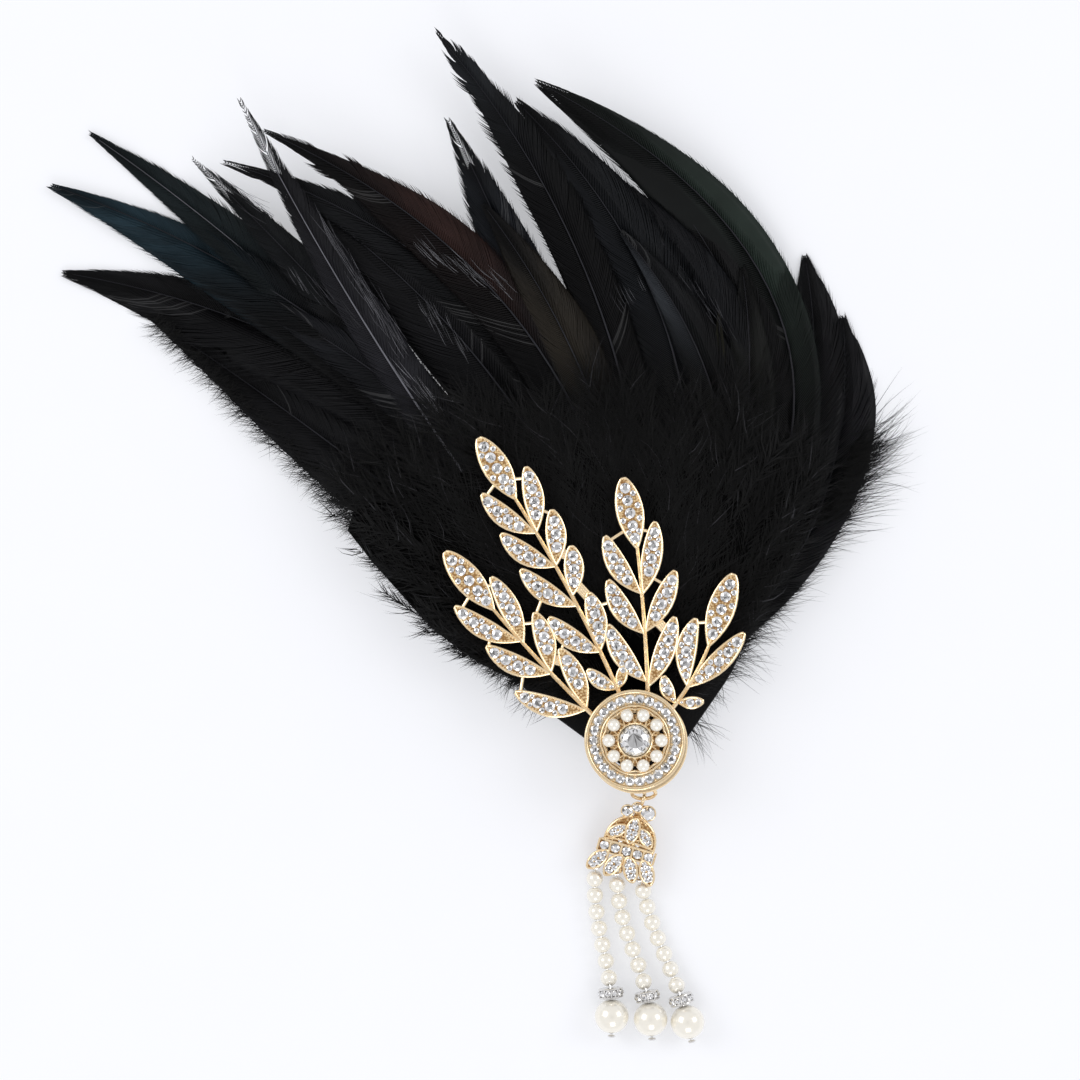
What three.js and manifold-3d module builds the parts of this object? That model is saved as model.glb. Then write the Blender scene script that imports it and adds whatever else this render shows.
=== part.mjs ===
// A feather hair clip in the flapper style: a felt backing on a plain clip carries a fan of long
// feathers and down, and on it lie a gilt leaf ornament, a round medallion and a pearl tassel.
// Millimetres, +Z up. The clip's underside lies at z = 0 and its middle is the origin.
// Inside the model the medallion's axis is the x, y centre, and +Y points up the feathers.
import * as THREE from "three";
import { mergeVertices } from "three/addons/utils/BufferGeometryUtils.js";
import Module from "manifold-3d";

const wasm = await Module();
wasm.setup();

// Clearances
const SEAT_GAP = 0.3; // between pieces that rest on each other
const LINK_GAP = 0.35; // round a wire that passes through a loop
const LAYER_GAP = 1.8; // between the long feathers and the down on them

// Clip and felt backing
const CLIP_LENGTH = 50;
const CLIP_WIDTH = 9;
const CLIP_HEIGHT = 5;
const CLIP_JAW = 1.4;
const CLIP_SLOT = 1.8;
const CLIP_HINGE = 8;
const FELT_LENGTH = 68;
const FELT_WIDTH = 58;
const FELT_TIP_DIAMETER = 12;
const FELT_THICKNESS = 2;
const FELT_ANGLE = 99.6;

// Feathers
const QUILL_PAD_THICKNESS = 2.5;
const QUILL_PAD_DIAMETER = 18;
const DOWN_PAD_THICKNESS = 2.3;
const DOWN_PAD_DIAMETER = 19;
const PLUME_ANGLE = 108;
const FEATHER_LENGTH = 185;
const FEATHER_WIDTH = 20;
const FEATHER_THICKNESS = 1.2;
const DOWN_LENGTH = 88;
const DOWN_WIDTH = 17;
const DOWN_THICKNESS = 1.2;
const DOWN_LOFT = 4;
const FLOOR_REACH = 70; // from the fan's axis to where its sides lie on the surface
const TIP_SAG = 0.35;

// Leaf ornament
const CASTING_THICKNESS = 1.5;
const LEAF_RIM_WIDTH = 0.5;
const SPRAY_STEM_LENGTH = 49.5;
const STEM_WIDTH = 1.3;
const STEM_RISE = 0.3;
const STEM_ROOT = 3;
const LEAF_BOW = 0.05;
const SIDE_LEAF_LENGTH = 16;
const SIDE_LEAF_WIDTH = 4.3;
const TERMINAL_LEAF_LENGTH = 17.7;
const TERMINAL_LEAF_WIDTH = 6.6;
const BRIDGE_WIDTH = 0.9;
const STONE_DIAMETER = 2.1;
const STONE_HEIGHT = 0.8;

// Medallion
const MEDALLION_DIAMETER = 23.4;
const MEDALLION_HEIGHT = 2.2;
const MEDALLION_RIM = 0.75;
const MEDALLION_STEP = 1.2;
const WELL_DIAMETER = 15.1;
const WELL_WALL = 0.55;
const WELL_LEDGE = 0.5;
const CHANNEL_DEPTH = 0.4;
const BAND_STONES = 26;
const ROSETTE_THICKNESS = 0.8;
const ROSETTE_PEARLS = 10;
const ROSETTE_PEARL_DIAMETER = 3;
const ROSETTE_HOLE_DIAMETER = 1.1;
const CENTRE_STONE_DIAMETER = 7.2;
const CENTRE_STONE_CROWN = 1.3;
const CENTRE_STONE_DEPTH = 1.1;
const BEZEL_WALL = 0.35;

// Jump ring, cap and strands
const JUMP_RING_DIAMETER = 6.4;
const JUMP_RING_WIRE = 0.9;
const JUMP_RING_TILT = 59;
const LOOP_WIRE = 0.8;
const CAP_TURN = -16;
const CAP_LENGTH = 20;
const CAP_WIDTH = 12.2;
const CAP_THICKNESS = 1.3;
const PETAL_LENGTH = 6.6;
const PETAL_WIDTH = 3.5;
const PETAL_RISE = 0.5;
const CAP_STONE_DIAMETER = 2;
const STRAND_WIRE = 0.8;
const STRAND_RING_DIAMETER = 3.2;
const STRAND_PEARLS = 7;
const STRAND_PEARL_DIAMETER = 4;
const STRAND_PEARL_PITCH = 3.9;
const RONDELLE_DIAMETER = 6.2;
const RONDELLE_THICKNESS = 2.3;
const DROP_PEARL_DIAMETER = 8;
const PIN_HEAD_DIAMETER = 2.1;

// Places in plan, from the medallion's axis, as shares of the size named beside each
const FELT_TIP_PLACE = new THREE.Vector2(0.05, -0.054).multiplyScalar(FELT_WIDTH);
const PLUME_ROOT = new THREE.Vector2(0.022, 0.157).multiplyScalar(FELT_WIDTH);
const BASE_PLATE_PLACE = new THREE.Vector2(0.026, -0.034).multiplyScalar(MEDALLION_DIAMETER);
const EYELET_PLACE = new THREE.Vector2(0.094, -0.479).multiplyScalar(MEDALLION_DIAMETER);

// Long feathers: angle in degrees from +X, length as a share of the longest, left and right as the
// widths of the vane's two sides in shares of the widest vane, hold as the share of the length
// where it starts to narrow, sweep as the bow of the shaft in shares of its own length, to the
// left where positive
const FEATHERS = [
  { angle: 143.6, length: 0.91, left: 0.6, right: 0.4, hold: 0.7, sweep: -0.13 },
  { angle: 142, length: 0.78, left: 0.55, right: 0.4, hold: 0.5, sweep: -0.02 },
  { angle: 138.9, length: 0.99, left: 0.54, right: 0.3, hold: 0.65, sweep: -0.1 },
  { angle: 134.2, length: 1, left: 0.3, right: 0.35, hold: 0.66, sweep: -0.05 },
  { angle: 129.6, length: 0.89, left: 0.3, right: 0.33, hold: 0.6, sweep: -0.03 },
  { angle: 127.8, length: 0.86, left: 0.4, right: 0.33, hold: 0.55, sweep: -0.175 },
  { angle: 123.7, length: 0.91, left: 0.25, right: 0.35, hold: 0.5, sweep: 0.03 },
  { angle: 123.5, length: 0.86, left: 0.4, right: 0.38, hold: 0.65, sweep: -0.16 },
  { angle: 115, length: 0.71, left: 0.45, right: 0.45, hold: 0.6, sweep: -0.06 },
  { angle: 108.3, length: 0.77, left: 0.47, right: 0.4, hold: 0.6, sweep: -0.04 },
  { angle: 107, length: 0.88, left: 0.32, right: 0.35, hold: 0.85, sweep: -0.11 },
  { angle: 101.7, length: 0.77, left: 0.45, right: 0.55, hold: 0.65, sweep: -0.17 },
  { angle: 98, length: 0.7, left: 0.45, right: 0.5, hold: 0.6, sweep: -0.25 },
  { angle: 99.6, length: 0.79, left: 0.62, right: 0.36, hold: 0.68, sweep: -0.33 },
  { angle: 88, length: 0.66, left: 0.5, right: 0.5, hold: 0.6, sweep: -0.22 },
  { angle: 76.6, length: 0.56, left: 0.4, right: 0.4, hold: 0.6, sweep: -0.1 },
  { angle: 62, length: 0.55, left: 0.4, right: 0.46, hold: 0.78, sweep: -0.165 },
];
const FEATHER_STEPS = 7;
const DOWN_STEPS = 4;

// Locks of down: angle in degrees from +X, length as a share of the longest
const DOWN_LOCKS = [
  { angle: 18, length: 0.24 },
  { angle: 28, length: 0.37 },
  { angle: 36, length: 0.56 },
  { angle: 44, length: 0.84 },
  { angle: 53, length: 0.9 },
  { angle: 63, length: 0.88 },
  { angle: 74, length: 0.82 },
  { angle: 86, length: 0.8 },
  { angle: 98, length: 0.81 },
  { angle: 110, length: 0.84 },
  { angle: 121, length: 0.88 },
  { angle: 131, length: 0.94 },
  { angle: 140, length: 1 },
  { angle: 148, length: 0.96 },
  { angle: 155, length: 0.72 },
  { angle: 163, length: 0.5 },
  { angle: 172, length: 0.34 },
];

// Sprays: root is the angle of the stem's foot round the medallion, aim the stem's direction,
// stem and bow shares of the longest stem and of its own length. Leaves: at is the share of the
// stem that it grows from, splay its turn from the stem to the left, length a share of a side
// leaf's, and the leaf numbered 0 is the one at the stem's end.
const SPRAYS = [
  {
    name: "a",
    root: 148.2,
    aim: 133.2,
    stem: 0.642,
    bow: 0.012,
    leaves: [
      { id: "0", at: 1, splay: -3, length: 1.03, stones: 5 },
      { id: "1L", at: 0.71, splay: 19, length: 1.1, stones: 4 },
      { id: "1R", at: 0.68, splay: -17, length: 1.1, stones: 4 },
      { id: "2L", at: 0.39, splay: 24, length: 1.03, stones: 4 },
      { id: "2R", at: 0.39, splay: -28, length: 0.93, stones: 3 },
      { id: "3L", at: 0.02, splay: 33, length: 1.08, stones: 4 },
      { id: "3R", at: 0.02, splay: -19, length: 0.98, stones: 3 },
    ],
  },
  {
    name: "b",
    root: 108.6,
    aim: 118.2,
    stem: 1,
    bow: -0.018,
    leaves: [
      { id: "0", at: 1, splay: 3, length: 0.97, stones: 5 },
      { id: "1L", at: 0.82, splay: 26, length: 0.99, stones: 4 },
      { id: "1R", at: 0.82, splay: -19, length: 0.99, stones: 4 },
      { id: "2L", at: 0.64, splay: 31, length: 0.94, stones: 4 },
      { id: "2R", at: 0.64, splay: -24, length: 0.84, stones: 3 },
      { id: "3L", at: 0.43, splay: 29, length: 0.99, stones: 4 },
      { id: "3R", at: 0.48, splay: -27, length: 0.75, stones: 3 },
      { id: "4L", at: 0.19, splay: 28, length: 0.91, stones: 4 },
      { id: "4R", at: 0.19, splay: -17, length: 0.89, stones: 4 },
      { id: "5L", at: 0, splay: 29, length: 0.53, stones: 3 },
      { id: "5R", at: 0, splay: -42, length: 0.36, stones: 2 },
    ],
  },
  {
    name: "c",
    root: 76,
    aim: 94.2,
    stem: 0.644,
    bow: -0.01,
    leaves: [
      { id: "0", at: 1, splay: 7, length: 0.98, stones: 5 },
      { id: "1L", at: 0.68, splay: 28, length: 1.01, stones: 4 },
      { id: "1R", at: 0.67, splay: -14, length: 1.1, stones: 4 },
      { id: "2L", at: 0.39, splay: 30, length: 0.96, stones: 4 },
      { id: "2R", at: 0.4, splay: -30, length: 1.01, stones: 4 },
      { id: "3L", at: 0.04, splay: 30, length: 1.02, stones: 5 },
      { id: "3R", at: 0, splay: -25, length: 1.11, stones: 4 },
    ],
  },
  {
    name: "d",
    root: 41,
    aim: 59.9,
    stem: 0.305,
    bow: -0.035,
    leaves: [
      { id: "0", at: 1, splay: 11, length: 1.04, stones: 5 },
      { id: "1L", at: 0.32, splay: 23, length: 1.02, stones: 5 },
      { id: "1R", at: 0.32, splay: -16, length: 1.15, stones: 5 },
      { id: "2L", at: 0.02, splay: 54, length: 0.45, stones: 3 },
      { id: "2R", at: 0.05, splay: -58, length: 0.39, stones: 3 },
    ],
  },
];

// Nubs that join neighbouring leaves: each runs between two leaves, at a share of each one's
// length. width is a share of the usual nub's.
const BRIDGES = [
  { from: "b0", at: 0.33, to: "b1R", toAt: 0.82, width: 1 },
  { from: "b0", at: 0.4, to: "b1L", toAt: 0.92, width: 1 },
  { from: "b1R", at: 0.38, to: "b2R", toAt: 0.9, width: 1 },
  { from: "b2R", at: 0.25, to: "b3R", toAt: 0.78, width: 2.2 },
  { from: "b3R", at: 0.3, to: "b4R", toAt: 0.85, width: 2 },
  { from: "a0", at: 0.38, to: "a1R", toAt: 0.88, width: 1 },
  { from: "a0", at: 0.4, to: "a1L", toAt: 0.9, width: 1 },
  { from: "a1L", at: 0.42, to: "a2L", toAt: 0.95, width: 1 },
  { from: "a2L", at: 0.38, to: "a3L", toAt: 0.92, width: 1 },
  { from: "a1R", at: 0.28, to: "a2R", toAt: 0.82, width: 1 },
  { from: "a2R", at: 0.25, to: "a3R", toAt: 0.72, width: 2.2 },
  { from: "b3L", at: 0.52, to: "a2R", toAt: 0.95, width: 1 },
  { from: "b4L", at: 0.6, to: "a3R", toAt: 0.95, width: 1.4 },
  { from: "a3R", at: 0.5, to: "b5L", toAt: 0.88, width: 1 },
  { from: "b4R", at: 0.75, to: "c2L", toAt: 0.66, width: 1 },
  { from: "c0", at: 0.34, to: "c1L", toAt: 0.9, width: 1 },
  { from: "c0", at: 0.32, to: "c1R", toAt: 0.84, width: 1 },
  { from: "c1R", at: 0.28, to: "c2R", toAt: 0.74, width: 1 },
  { from: "c2R", at: 0.25, to: "c3R", toAt: 0.75, width: 2.2 },
  { from: "b4R", at: 0.35, to: "c3L", toAt: 0.8, width: 1 },
  { from: "b5R", at: 0.9, to: "c3L", toAt: 0.42, width: 1 },
  { from: "c3R", at: 0.66, to: "d1L", toAt: 0.58, width: 2 },
  { from: "d1L", at: 0.92, to: "d0", toAt: 0.36, width: 1 },
];

// The cap's round stones, from its top loop: x in shares of its width, y of its length, size in
// shares of a cap stone, cupped where the stone has a cup of its own beyond the cap's plate
const CAP_STONES = [
  { x: -0.22, y: -0.185, size: 1.3, cupped: true },
  { x: -0.08, y: -0.115, size: 1.1, cupped: true },
  { x: 0.16, y: -0.145, size: 1.6, cupped: true },
  { x: -0.42, y: -0.48, size: 1 },
  { x: -0.26, y: -0.41, size: 1 },
  { x: 0.22, y: -0.41, size: 1 },
  { x: 0.36, y: -0.48, size: 1 },
  { x: -0.47, y: -0.655, size: 1.1 },
  { x: -0.25, y: -0.655, size: 1.1 },
  { x: -0.03, y: -0.655, size: 1.1 },
  { x: 0.19, y: -0.655, size: 1.1 },
  { x: 0.41, y: -0.655, size: 1.1 },
];

// The cap's petals: turn in degrees from straight down, to the right where positive
const CAP_PETALS = [
  { x: -0.03, y: -0.39, turn: 0, rise: 1 },
  { x: -0.52, y: -0.835, turn: -33, rise: 0 },
  { x: -0.2, y: -0.85, turn: -24, rise: 0 },
  { x: 0.14, y: -0.85, turn: 25, rise: 0 },
  { x: 0.46, y: -0.835, turn: 31, rise: 0 },
];

// Strands: x is the place of the lug in shares of the cap's width, aim the direction in degrees
// from straight down, sway the size of its S bend in shares of its length
const STRANDS = [
  { name: "left", x: -0.56, aim: 5, sway: 0.02 },
  { name: "middle", x: -0.15, aim: 11.5, sway: 0.024 },
  { name: "right", x: 0.31, aim: 17.1, sway: 0.015 },
];

const radians = THREE.MathUtils.degToRad;
const smoothstep = THREE.MathUtils.smoothstep;

// Levels, from the surface up
const feltBottom = CLIP_HEIGHT + SEAT_GAP;
const quillBottom = feltBottom + FELT_THICKNESS + SEAT_GAP;
const downBottom = quillBottom + QUILL_PAD_THICKNESS + SEAT_GAP;
const castingBottom = downBottom + DOWN_PAD_THICKNESS + SEAT_GAP;
const bedLevel = castingBottom + CASTING_THICKNESS;
const medallionBottom = bedLevel + SEAT_GAP;
const wellFloor = medallionBottom + MEDALLION_STEP;
const rosetteBottom = wellFloor + SEAT_GAP;
const rosetteTop = rosetteBottom + ROSETTE_THICKNESS;
const partingLevel = downBottom - SEAT_GAP / 2;

// Radii that follow from the sizes
const bezelRadius = CENTRE_STONE_DIAMETER / 2 + SEAT_GAP + BEZEL_WALL;
const pearlCircle = bezelRadius + SEAT_GAP + ROSETTE_PEARL_DIAMETER / 2;
const baseOpening = WELL_DIAMETER / 2 - WELL_LEDGE;
const feltAxis = new THREE.Vector2(Math.cos(radians(FELT_ANGLE)), Math.sin(radians(FELT_ANGLE)));
const flatReach = FELT_WIDTH / 2 + QUILL_PAD_THICKNESS;

// A three.js geometry as a solid that can be joined and cut.
function solid(geometry) {
  const bare = geometry.index ? geometry.toNonIndexed() : geometry.clone();
  bare.deleteAttribute("normal");
  bare.deleteAttribute("uv");
  const merged = mergeVertices(bare, 1e-5);
  const corners = merged.index.array;
  const kept = [];
  for (let i = 0; i < corners.length; i += 3) {
    const [a, b, c] = [corners[i], corners[i + 1], corners[i + 2]];
    if (a !== b && b !== c && c !== a) kept.push(a, b, c);
  }
  return new wasm.Manifold(
    new wasm.Mesh({
      numProp: 3,
      vertProperties: merged.attributes.position.array,
      triVerts: new Uint32Array(kept),
    }),
  );
}

// The joined solid as a geometry again, without slivers smaller than the tolerance.
function geometryOf(manifold, tolerance = 0.02) {
  const mesh = manifold.simplify(tolerance).getMesh();
  const geometry = new THREE.BufferGeometry();
  geometry.setAttribute("position", new THREE.BufferAttribute(mesh.vertProperties, 3));
  geometry.setIndex(new THREE.BufferAttribute(mesh.triVerts, 1));
  return geometry;
}

const join = (pieces) => wasm.Manifold.union(pieces);

// The same solid with the pockets filled that overlapping blades seal in.
const filled = (manifold) => join(manifold.decompose().filter((shell) => shell.volume() > 0));

// A plate of an outline given as points or a Shape, between two levels.
function plate(outline, bottom, top) {
  const shape = Array.isArray(outline) ? new THREE.Shape(outline) : outline;
  const geometry = new THREE.ExtrudeGeometry(shape, {
    depth: top - bottom,
    bevelEnabled: false,
    curveSegments: 12,
  });
  return geometry.translate(0, 0, bottom);
}

// An upright cylinder or frustum between two levels.
function drum(bottomRadius, topRadius, bottom, top, sides) {
  const geometry = new THREE.CylinderGeometry(topRadius, bottomRadius, top - bottom, sides);
  return geometry.rotateX(Math.PI / 2).translate(0, 0, (bottom + top) / 2);
}

// A closed tube whose rings are laid where place(share, right, up) puts them.
function mappedTube(sides, steps, place) {
  const geometry = new THREE.CylinderGeometry(1, 1, 1, sides, steps);
  const positions = geometry.attributes.position;
  for (let i = 0; i < positions.count; i++) {
    const point = place(positions.getY(i) + 0.5, positions.getX(i), positions.getZ(i));
    positions.setXYZ(i, point.x, point.y, point.z);
  }
  return geometry;
}

// A stone with eight crown facets and a table, its foot sunk a little into what holds it.
function cutStone(diameter, seat) {
  const girdle = diameter / 2;
  return drum(girdle, girdle * 0.58, seat - STONE_HEIGHT / 4, seat + STONE_HEIGHT, 8);
}

// A point on a line that starts at a place, runs at an angle and bows to its left.
function bowedPoint(start, angle, length, bow, share) {
  const along = new THREE.Vector2(Math.cos(radians(angle)), Math.sin(radians(angle)));
  const left = new THREE.Vector2(-along.y, along.x);
  return start
    .clone()
    .addScaledVector(along, length * share)
    .addScaledVector(left, length * bow * 4 * share * (1 - share));
}

// Half a leaf's width at a share of its length: widest a little beyond the middle.
function leafHalfWidth(width, share) {
  return (width / 2) * Math.sin(Math.PI * share ** 1.2) ** 0.75;
}

// The outline of a leaf that grows from the origin along +X.
function leafOutline(leaf) {
  const steps = 5;
  const upper = [];
  const lower = [];
  for (let i = 0; i <= steps; i++) {
    const share = i / steps;
    const x = leaf.length * share;
    const middle = leaf.bow * leaf.length * 4 * share * (1 - share);
    const half = leafHalfWidth(leaf.width, share);
    upper.push(new THREE.Vector2(x, middle + half));
    if (i > 0 && i < steps) lower.unshift(new THREE.Vector2(x, middle - half));
  }
  return [...upper, ...lower].reverse();
}

// Every leaf with its place, direction and sizes.
function placedLeaves() {
  const leaves = new Map();
  for (const spray of SPRAYS) {
    const stem = stemOf(spray);
    for (const row of spray.leaves) {
      const terminal = row.id === "0";
      const fullLength = terminal ? TERMINAL_LEAF_LENGTH : SIDE_LEAF_LENGTH;
      const slimness = Math.min(1, row.length * 1.2);
      leaves.set(spray.name + row.id, {
        foot: stem.point(row.at),
        angle: spray.aim + row.splay,
        length: fullLength * row.length,
        width: terminal ? TERMINAL_LEAF_WIDTH : SIDE_LEAF_WIDTH * slimness,
        bow: terminal ? 0 : LEAF_BOW * (row.splay > 0 ? 1 : -0.5),
        stones: row.stones,
      });
    }
  }
  return leaves;
}

function stemOf(spray) {
  const reach = MEDALLION_DIAMETER * 0.53;
  const foot = new THREE.Vector2(
    reach * Math.cos(radians(spray.root)),
    reach * Math.sin(radians(spray.root)),
  );
  const length = SPRAY_STEM_LENGTH * spray.stem;
  return {
    length,
    point: (share) => bowedPoint(foot, spray.aim, length, spray.bow, share),
  };
}

function leafSolids(leaf) {
  const pieces = [plate(leafOutline(leaf), castingBottom, bedLevel)];
  for (let i = 0; i < leaf.stones; i++) {
    const share = 0.2 + (0.64 * i) / (leaf.stones - 1);
    const room = 2 * leafHalfWidth(leaf.width, share) - LEAF_RIM_WIDTH;
    const stone = cutStone(Math.min(STONE_DIAMETER, room), bedLevel);
    const middle = leaf.bow * leaf.length * 4 * share * (1 - share);
    pieces.push(stone.translate(leaf.length * share, middle, 0));
  }
  return pieces.map((piece) =>
    solid(piece.rotateZ(radians(leaf.angle)).translate(leaf.foot.x, leaf.foot.y, 0)),
  );
}

function stemSolid(spray) {
  const stem = stemOf(spray);
  const steps = 5;
  const start = -STEM_ROOT / stem.length;
  const end = 1 + STEM_WIDTH / stem.length;
  const left = [];
  const right = [];
  for (let i = 0; i <= steps; i++) {
    const share = start + ((end - start) * i) / steps;
    const point = stem.point(share);
    const ahead = stem.point(share + 0.01).sub(point).normalize();
    const half = (STEM_WIDTH / 2) * (1 - 0.35 * (i / steps));
    left.push(new THREE.Vector2(point.x - ahead.y * half, point.y + ahead.x * half));
    right.unshift(new THREE.Vector2(point.x + ahead.y * half, point.y - ahead.x * half));
  }
  return solid(plate([...right, ...left].reverse(), castingBottom, bedLevel + STEM_RISE));
}

function leafPoint(leaf, share) {
  return bowedPoint(leaf.foot, leaf.angle, leaf.length, leaf.bow, share);
}

function bridgeSolid(row, leaves) {
  const start = leafPoint(leaves.get(row.from), row.at);
  const end = leafPoint(leaves.get(row.to), row.toAt);
  const along = end.clone().sub(start);
  const bar = new THREE.BoxGeometry(along.length(), BRIDGE_WIDTH * row.width, CASTING_THICKNESS);
  bar.rotateZ(along.angle());
  bar.translate((start.x + end.x) / 2, (start.y + end.y) / 2, castingBottom + CASTING_THICKNESS / 2);
  return solid(bar);
}

// A closed loop of wire that stands in the YZ plane, or turned from it, round the given centre.
function standingLoop(holeRadius, wire, centre, sides, turn = 0) {
  const loop = new THREE.TorusGeometry(holeRadius + wire / 2, wire / 2, 6, sides);
  loop.rotateY(Math.PI / 2).rotateZ(radians(turn));
  return loop.translate(centre.x, centre.y, centre.z);
}

const eyeletHole = JUMP_RING_WIRE / 2 + LINK_GAP;
const eyeletCentre = new THREE.Vector3(
  EYELET_PLACE.x,
  EYELET_PLACE.y,
  castingBottom - SEAT_GAP - eyeletHole,
);

function leafCasting() {
  const leaves = placedLeaves();
  const base = new THREE.Shape();
  base.absarc(0, 0, MEDALLION_DIAMETER / 2, 0, 2 * Math.PI);
  const opening = new THREE.Path();
  opening.absarc(0, 0, baseOpening, 0, 2 * Math.PI);
  base.holes.push(opening);
  const ring = plate(base, castingBottom, bedLevel);
  const joined = join([
    solid(ring.translate(BASE_PLATE_PLACE.x, BASE_PLATE_PLACE.y, 0)),
    solid(standingLoop(eyeletHole, LOOP_WIRE, eyeletCentre, 12)),
    ...SPRAYS.map(stemSolid),
    ...[...leaves.values()].flatMap(leafSolids),
    ...BRIDGES.map((row) => bridgeSolid(row, leaves)),
  ]);
  const seatRadius = MEDALLION_DIAMETER / 2 + SEAT_GAP;
  const seat = drum(seatRadius, seatRadius, bedLevel, bedLevel + MEDALLION_HEIGHT, 32);
  return geometryOf(joined.subtract(solid(seat)));
}

// A ring turned from a closed profile of radius and height pairs.
function turned(profile, sides) {
  const points = profile.map(([radius, height]) => new THREE.Vector2(radius, height));
  return new THREE.LatheGeometry(points, sides).rotateX(Math.PI / 2);
}

function medallion() {
  const outer = MEDALLION_DIAMETER / 2;
  const well = WELL_DIAMETER / 2;
  const top = medallionBottom + MEDALLION_HEIGHT;
  const channel = top - CHANNEL_DEPTH;
  const body = turned(
    [
      [baseOpening, medallionBottom],
      [outer, medallionBottom],
      [outer, top],
      [outer - MEDALLION_RIM, top],
      [outer - MEDALLION_RIM, channel],
      [well + WELL_WALL, channel],
      [well + WELL_WALL, top],
      [well, top],
      [well, wellFloor],
      [baseOpening, wellFloor],
      [baseOpening, medallionBottom],
    ],
    28,
  );
  const circle = (outer - MEDALLION_RIM + well + WELL_WALL) / 2;
  const pieces = [solid(body)];
  for (let i = 0; i < BAND_STONES; i++) {
    const angle = (2 * Math.PI * i) / BAND_STONES;
    const stone = cutStone(STONE_DIAMETER, channel);
    stone.translate(circle * Math.cos(angle), circle * Math.sin(angle), 0);
    pieces.push(solid(stone));
  }
  return geometryOf(join(pieces));
}

function rosette() {
  const edge = WELL_DIAMETER / 2 - SEAT_GAP;
  const scallops = [];
  const steps = 2 * ROSETTE_PEARLS;
  for (let i = 0; i < steps; i++) {
    const angle = (2 * Math.PI * i) / steps;
    const radius = edge - 0.15 + 0.15 * Math.cos(ROSETTE_PEARLS * angle);
    scallops.push(new THREE.Vector2(radius * Math.cos(angle), radius * Math.sin(angle)));
  }
  const outline = new THREE.Shape(scallops);
  for (let i = 0; i < ROSETTE_PEARLS; i++) {
    const angle = (2 * Math.PI * (i + 0.5)) / ROSETTE_PEARLS;
    const hole = new THREE.Path();
    const circle = pearlCircle + 0.05;
    const centre = [circle * Math.cos(angle), circle * Math.sin(angle)];
    hole.absarc(centre[0], centre[1], ROSETTE_HOLE_DIAMETER / 2, 0, 2 * Math.PI);
    outline.holes.push(hole);
  }
  const flange = new THREE.ExtrudeGeometry(outline, {
    depth: ROSETTE_THICKNESS,
    bevelEnabled: false,
    curveSegments: 6,
  });
  const cup = bezelRadius - BEZEL_WALL;
  const bezelTop = centreStoneGirdle;
  const bezel = turned(
    [
      [0, rosetteBottom],
      [bezelRadius, rosetteBottom],
      [bezelRadius, bezelTop],
      [cup, bezelTop],
      [cup, bezelTop - CENTRE_STONE_DEPTH],
      [0, bezelTop - CENTRE_STONE_DEPTH - SEAT_GAP],
    ],
    16,
  );
  return geometryOf(join([solid(flange.translate(0, 0, rosetteBottom)), solid(bezel)]));
}

const centreStoneGirdle = rosetteTop + ROSETTE_PEARL_DIAMETER / 2;

function centreStone() {
  const girdle = CENTRE_STONE_DIAMETER / 2;
  const table = centreStoneGirdle + CENTRE_STONE_CROWN;
  return turned(
    [
      [0, centreStoneGirdle - CENTRE_STONE_DEPTH],
      [girdle, centreStoneGirdle - SEAT_GAP],
      [girdle, centreStoneGirdle],
      [girdle * 0.82, centreStoneGirdle + CENTRE_STONE_CROWN * 0.62],
      [girdle * 0.55, table],
      [0, table],
    ],
    12,
  );
}

// The height of the sheet that parts the long feathers from the down. It is level over the felt
// and falls to the surface at the fan's sides.
function partingHeight(x, y) {
  const angle = radians(PLUME_ANGLE);
  const dx = x - PLUME_ROOT.x;
  const dy = y - PLUME_ROOT.y;
  const forward = dx * Math.cos(angle) + dy * Math.sin(angle);
  const across = Math.abs(dy * Math.cos(angle) - dx * Math.sin(angle));
  const side = Math.max(0, across - flatReach) / (FLOOR_REACH - flatReach);
  const sag = TIP_SAG * (Math.max(0, forward - FELT_LENGTH) / FEATHER_LENGTH) ** 2;
  return partingLevel * Math.max(0, 1 - side ** 2 - sag);
}

// How far a point in plan lies from the nearest spray of the ornament.
function distanceToSprays(x, y) {
  const point = new THREE.Vector3(x, y, 0);
  const centre = new THREE.Vector3();
  const near = new THREE.Vector3();
  return Math.min(
    ...SPRAYS.map((spray) => {
      const stem = stemOf(spray);
      const end = stem.point(1 + TERMINAL_LEAF_LENGTH / stem.length);
      const line = new THREE.Line3(centre, new THREE.Vector3(end.x, end.y, 0));
      return line.closestPointToPoint(point, true, near).distanceTo(point);
    }),
  );
}

// A flattened blade along a bowed line, with a ridge down its middle. half(share, right) is its
// half width and level(x, y, up) the height of its underside, edge or ridge.
function blade(row, length, steps, half, level) {
  const at = (share) => bowedPoint(PLUME_ROOT, row.angle, length, row.sweep, share);
  return mappedTube(4, steps, (share, right, up) => {
    const point = at(share);
    const ahead = at(share + 0.01).sub(point).normalize();
    const width = half(share, right);
    const x = point.x + ahead.y * width * right;
    const y = point.y - ahead.x * width * right;
    return new THREE.Vector3(x, y, level(x, y, up * Math.min(1, width)));
  });
}

function featherLevel(x, y, up) {
  const middle = partingHeight(x, y) - (LAYER_GAP + FEATHER_THICKNESS) / 2;
  return Math.max(middle, FEATHER_THICKNESS / 2) + (up * FEATHER_THICKNESS) / 2;
}

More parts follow.
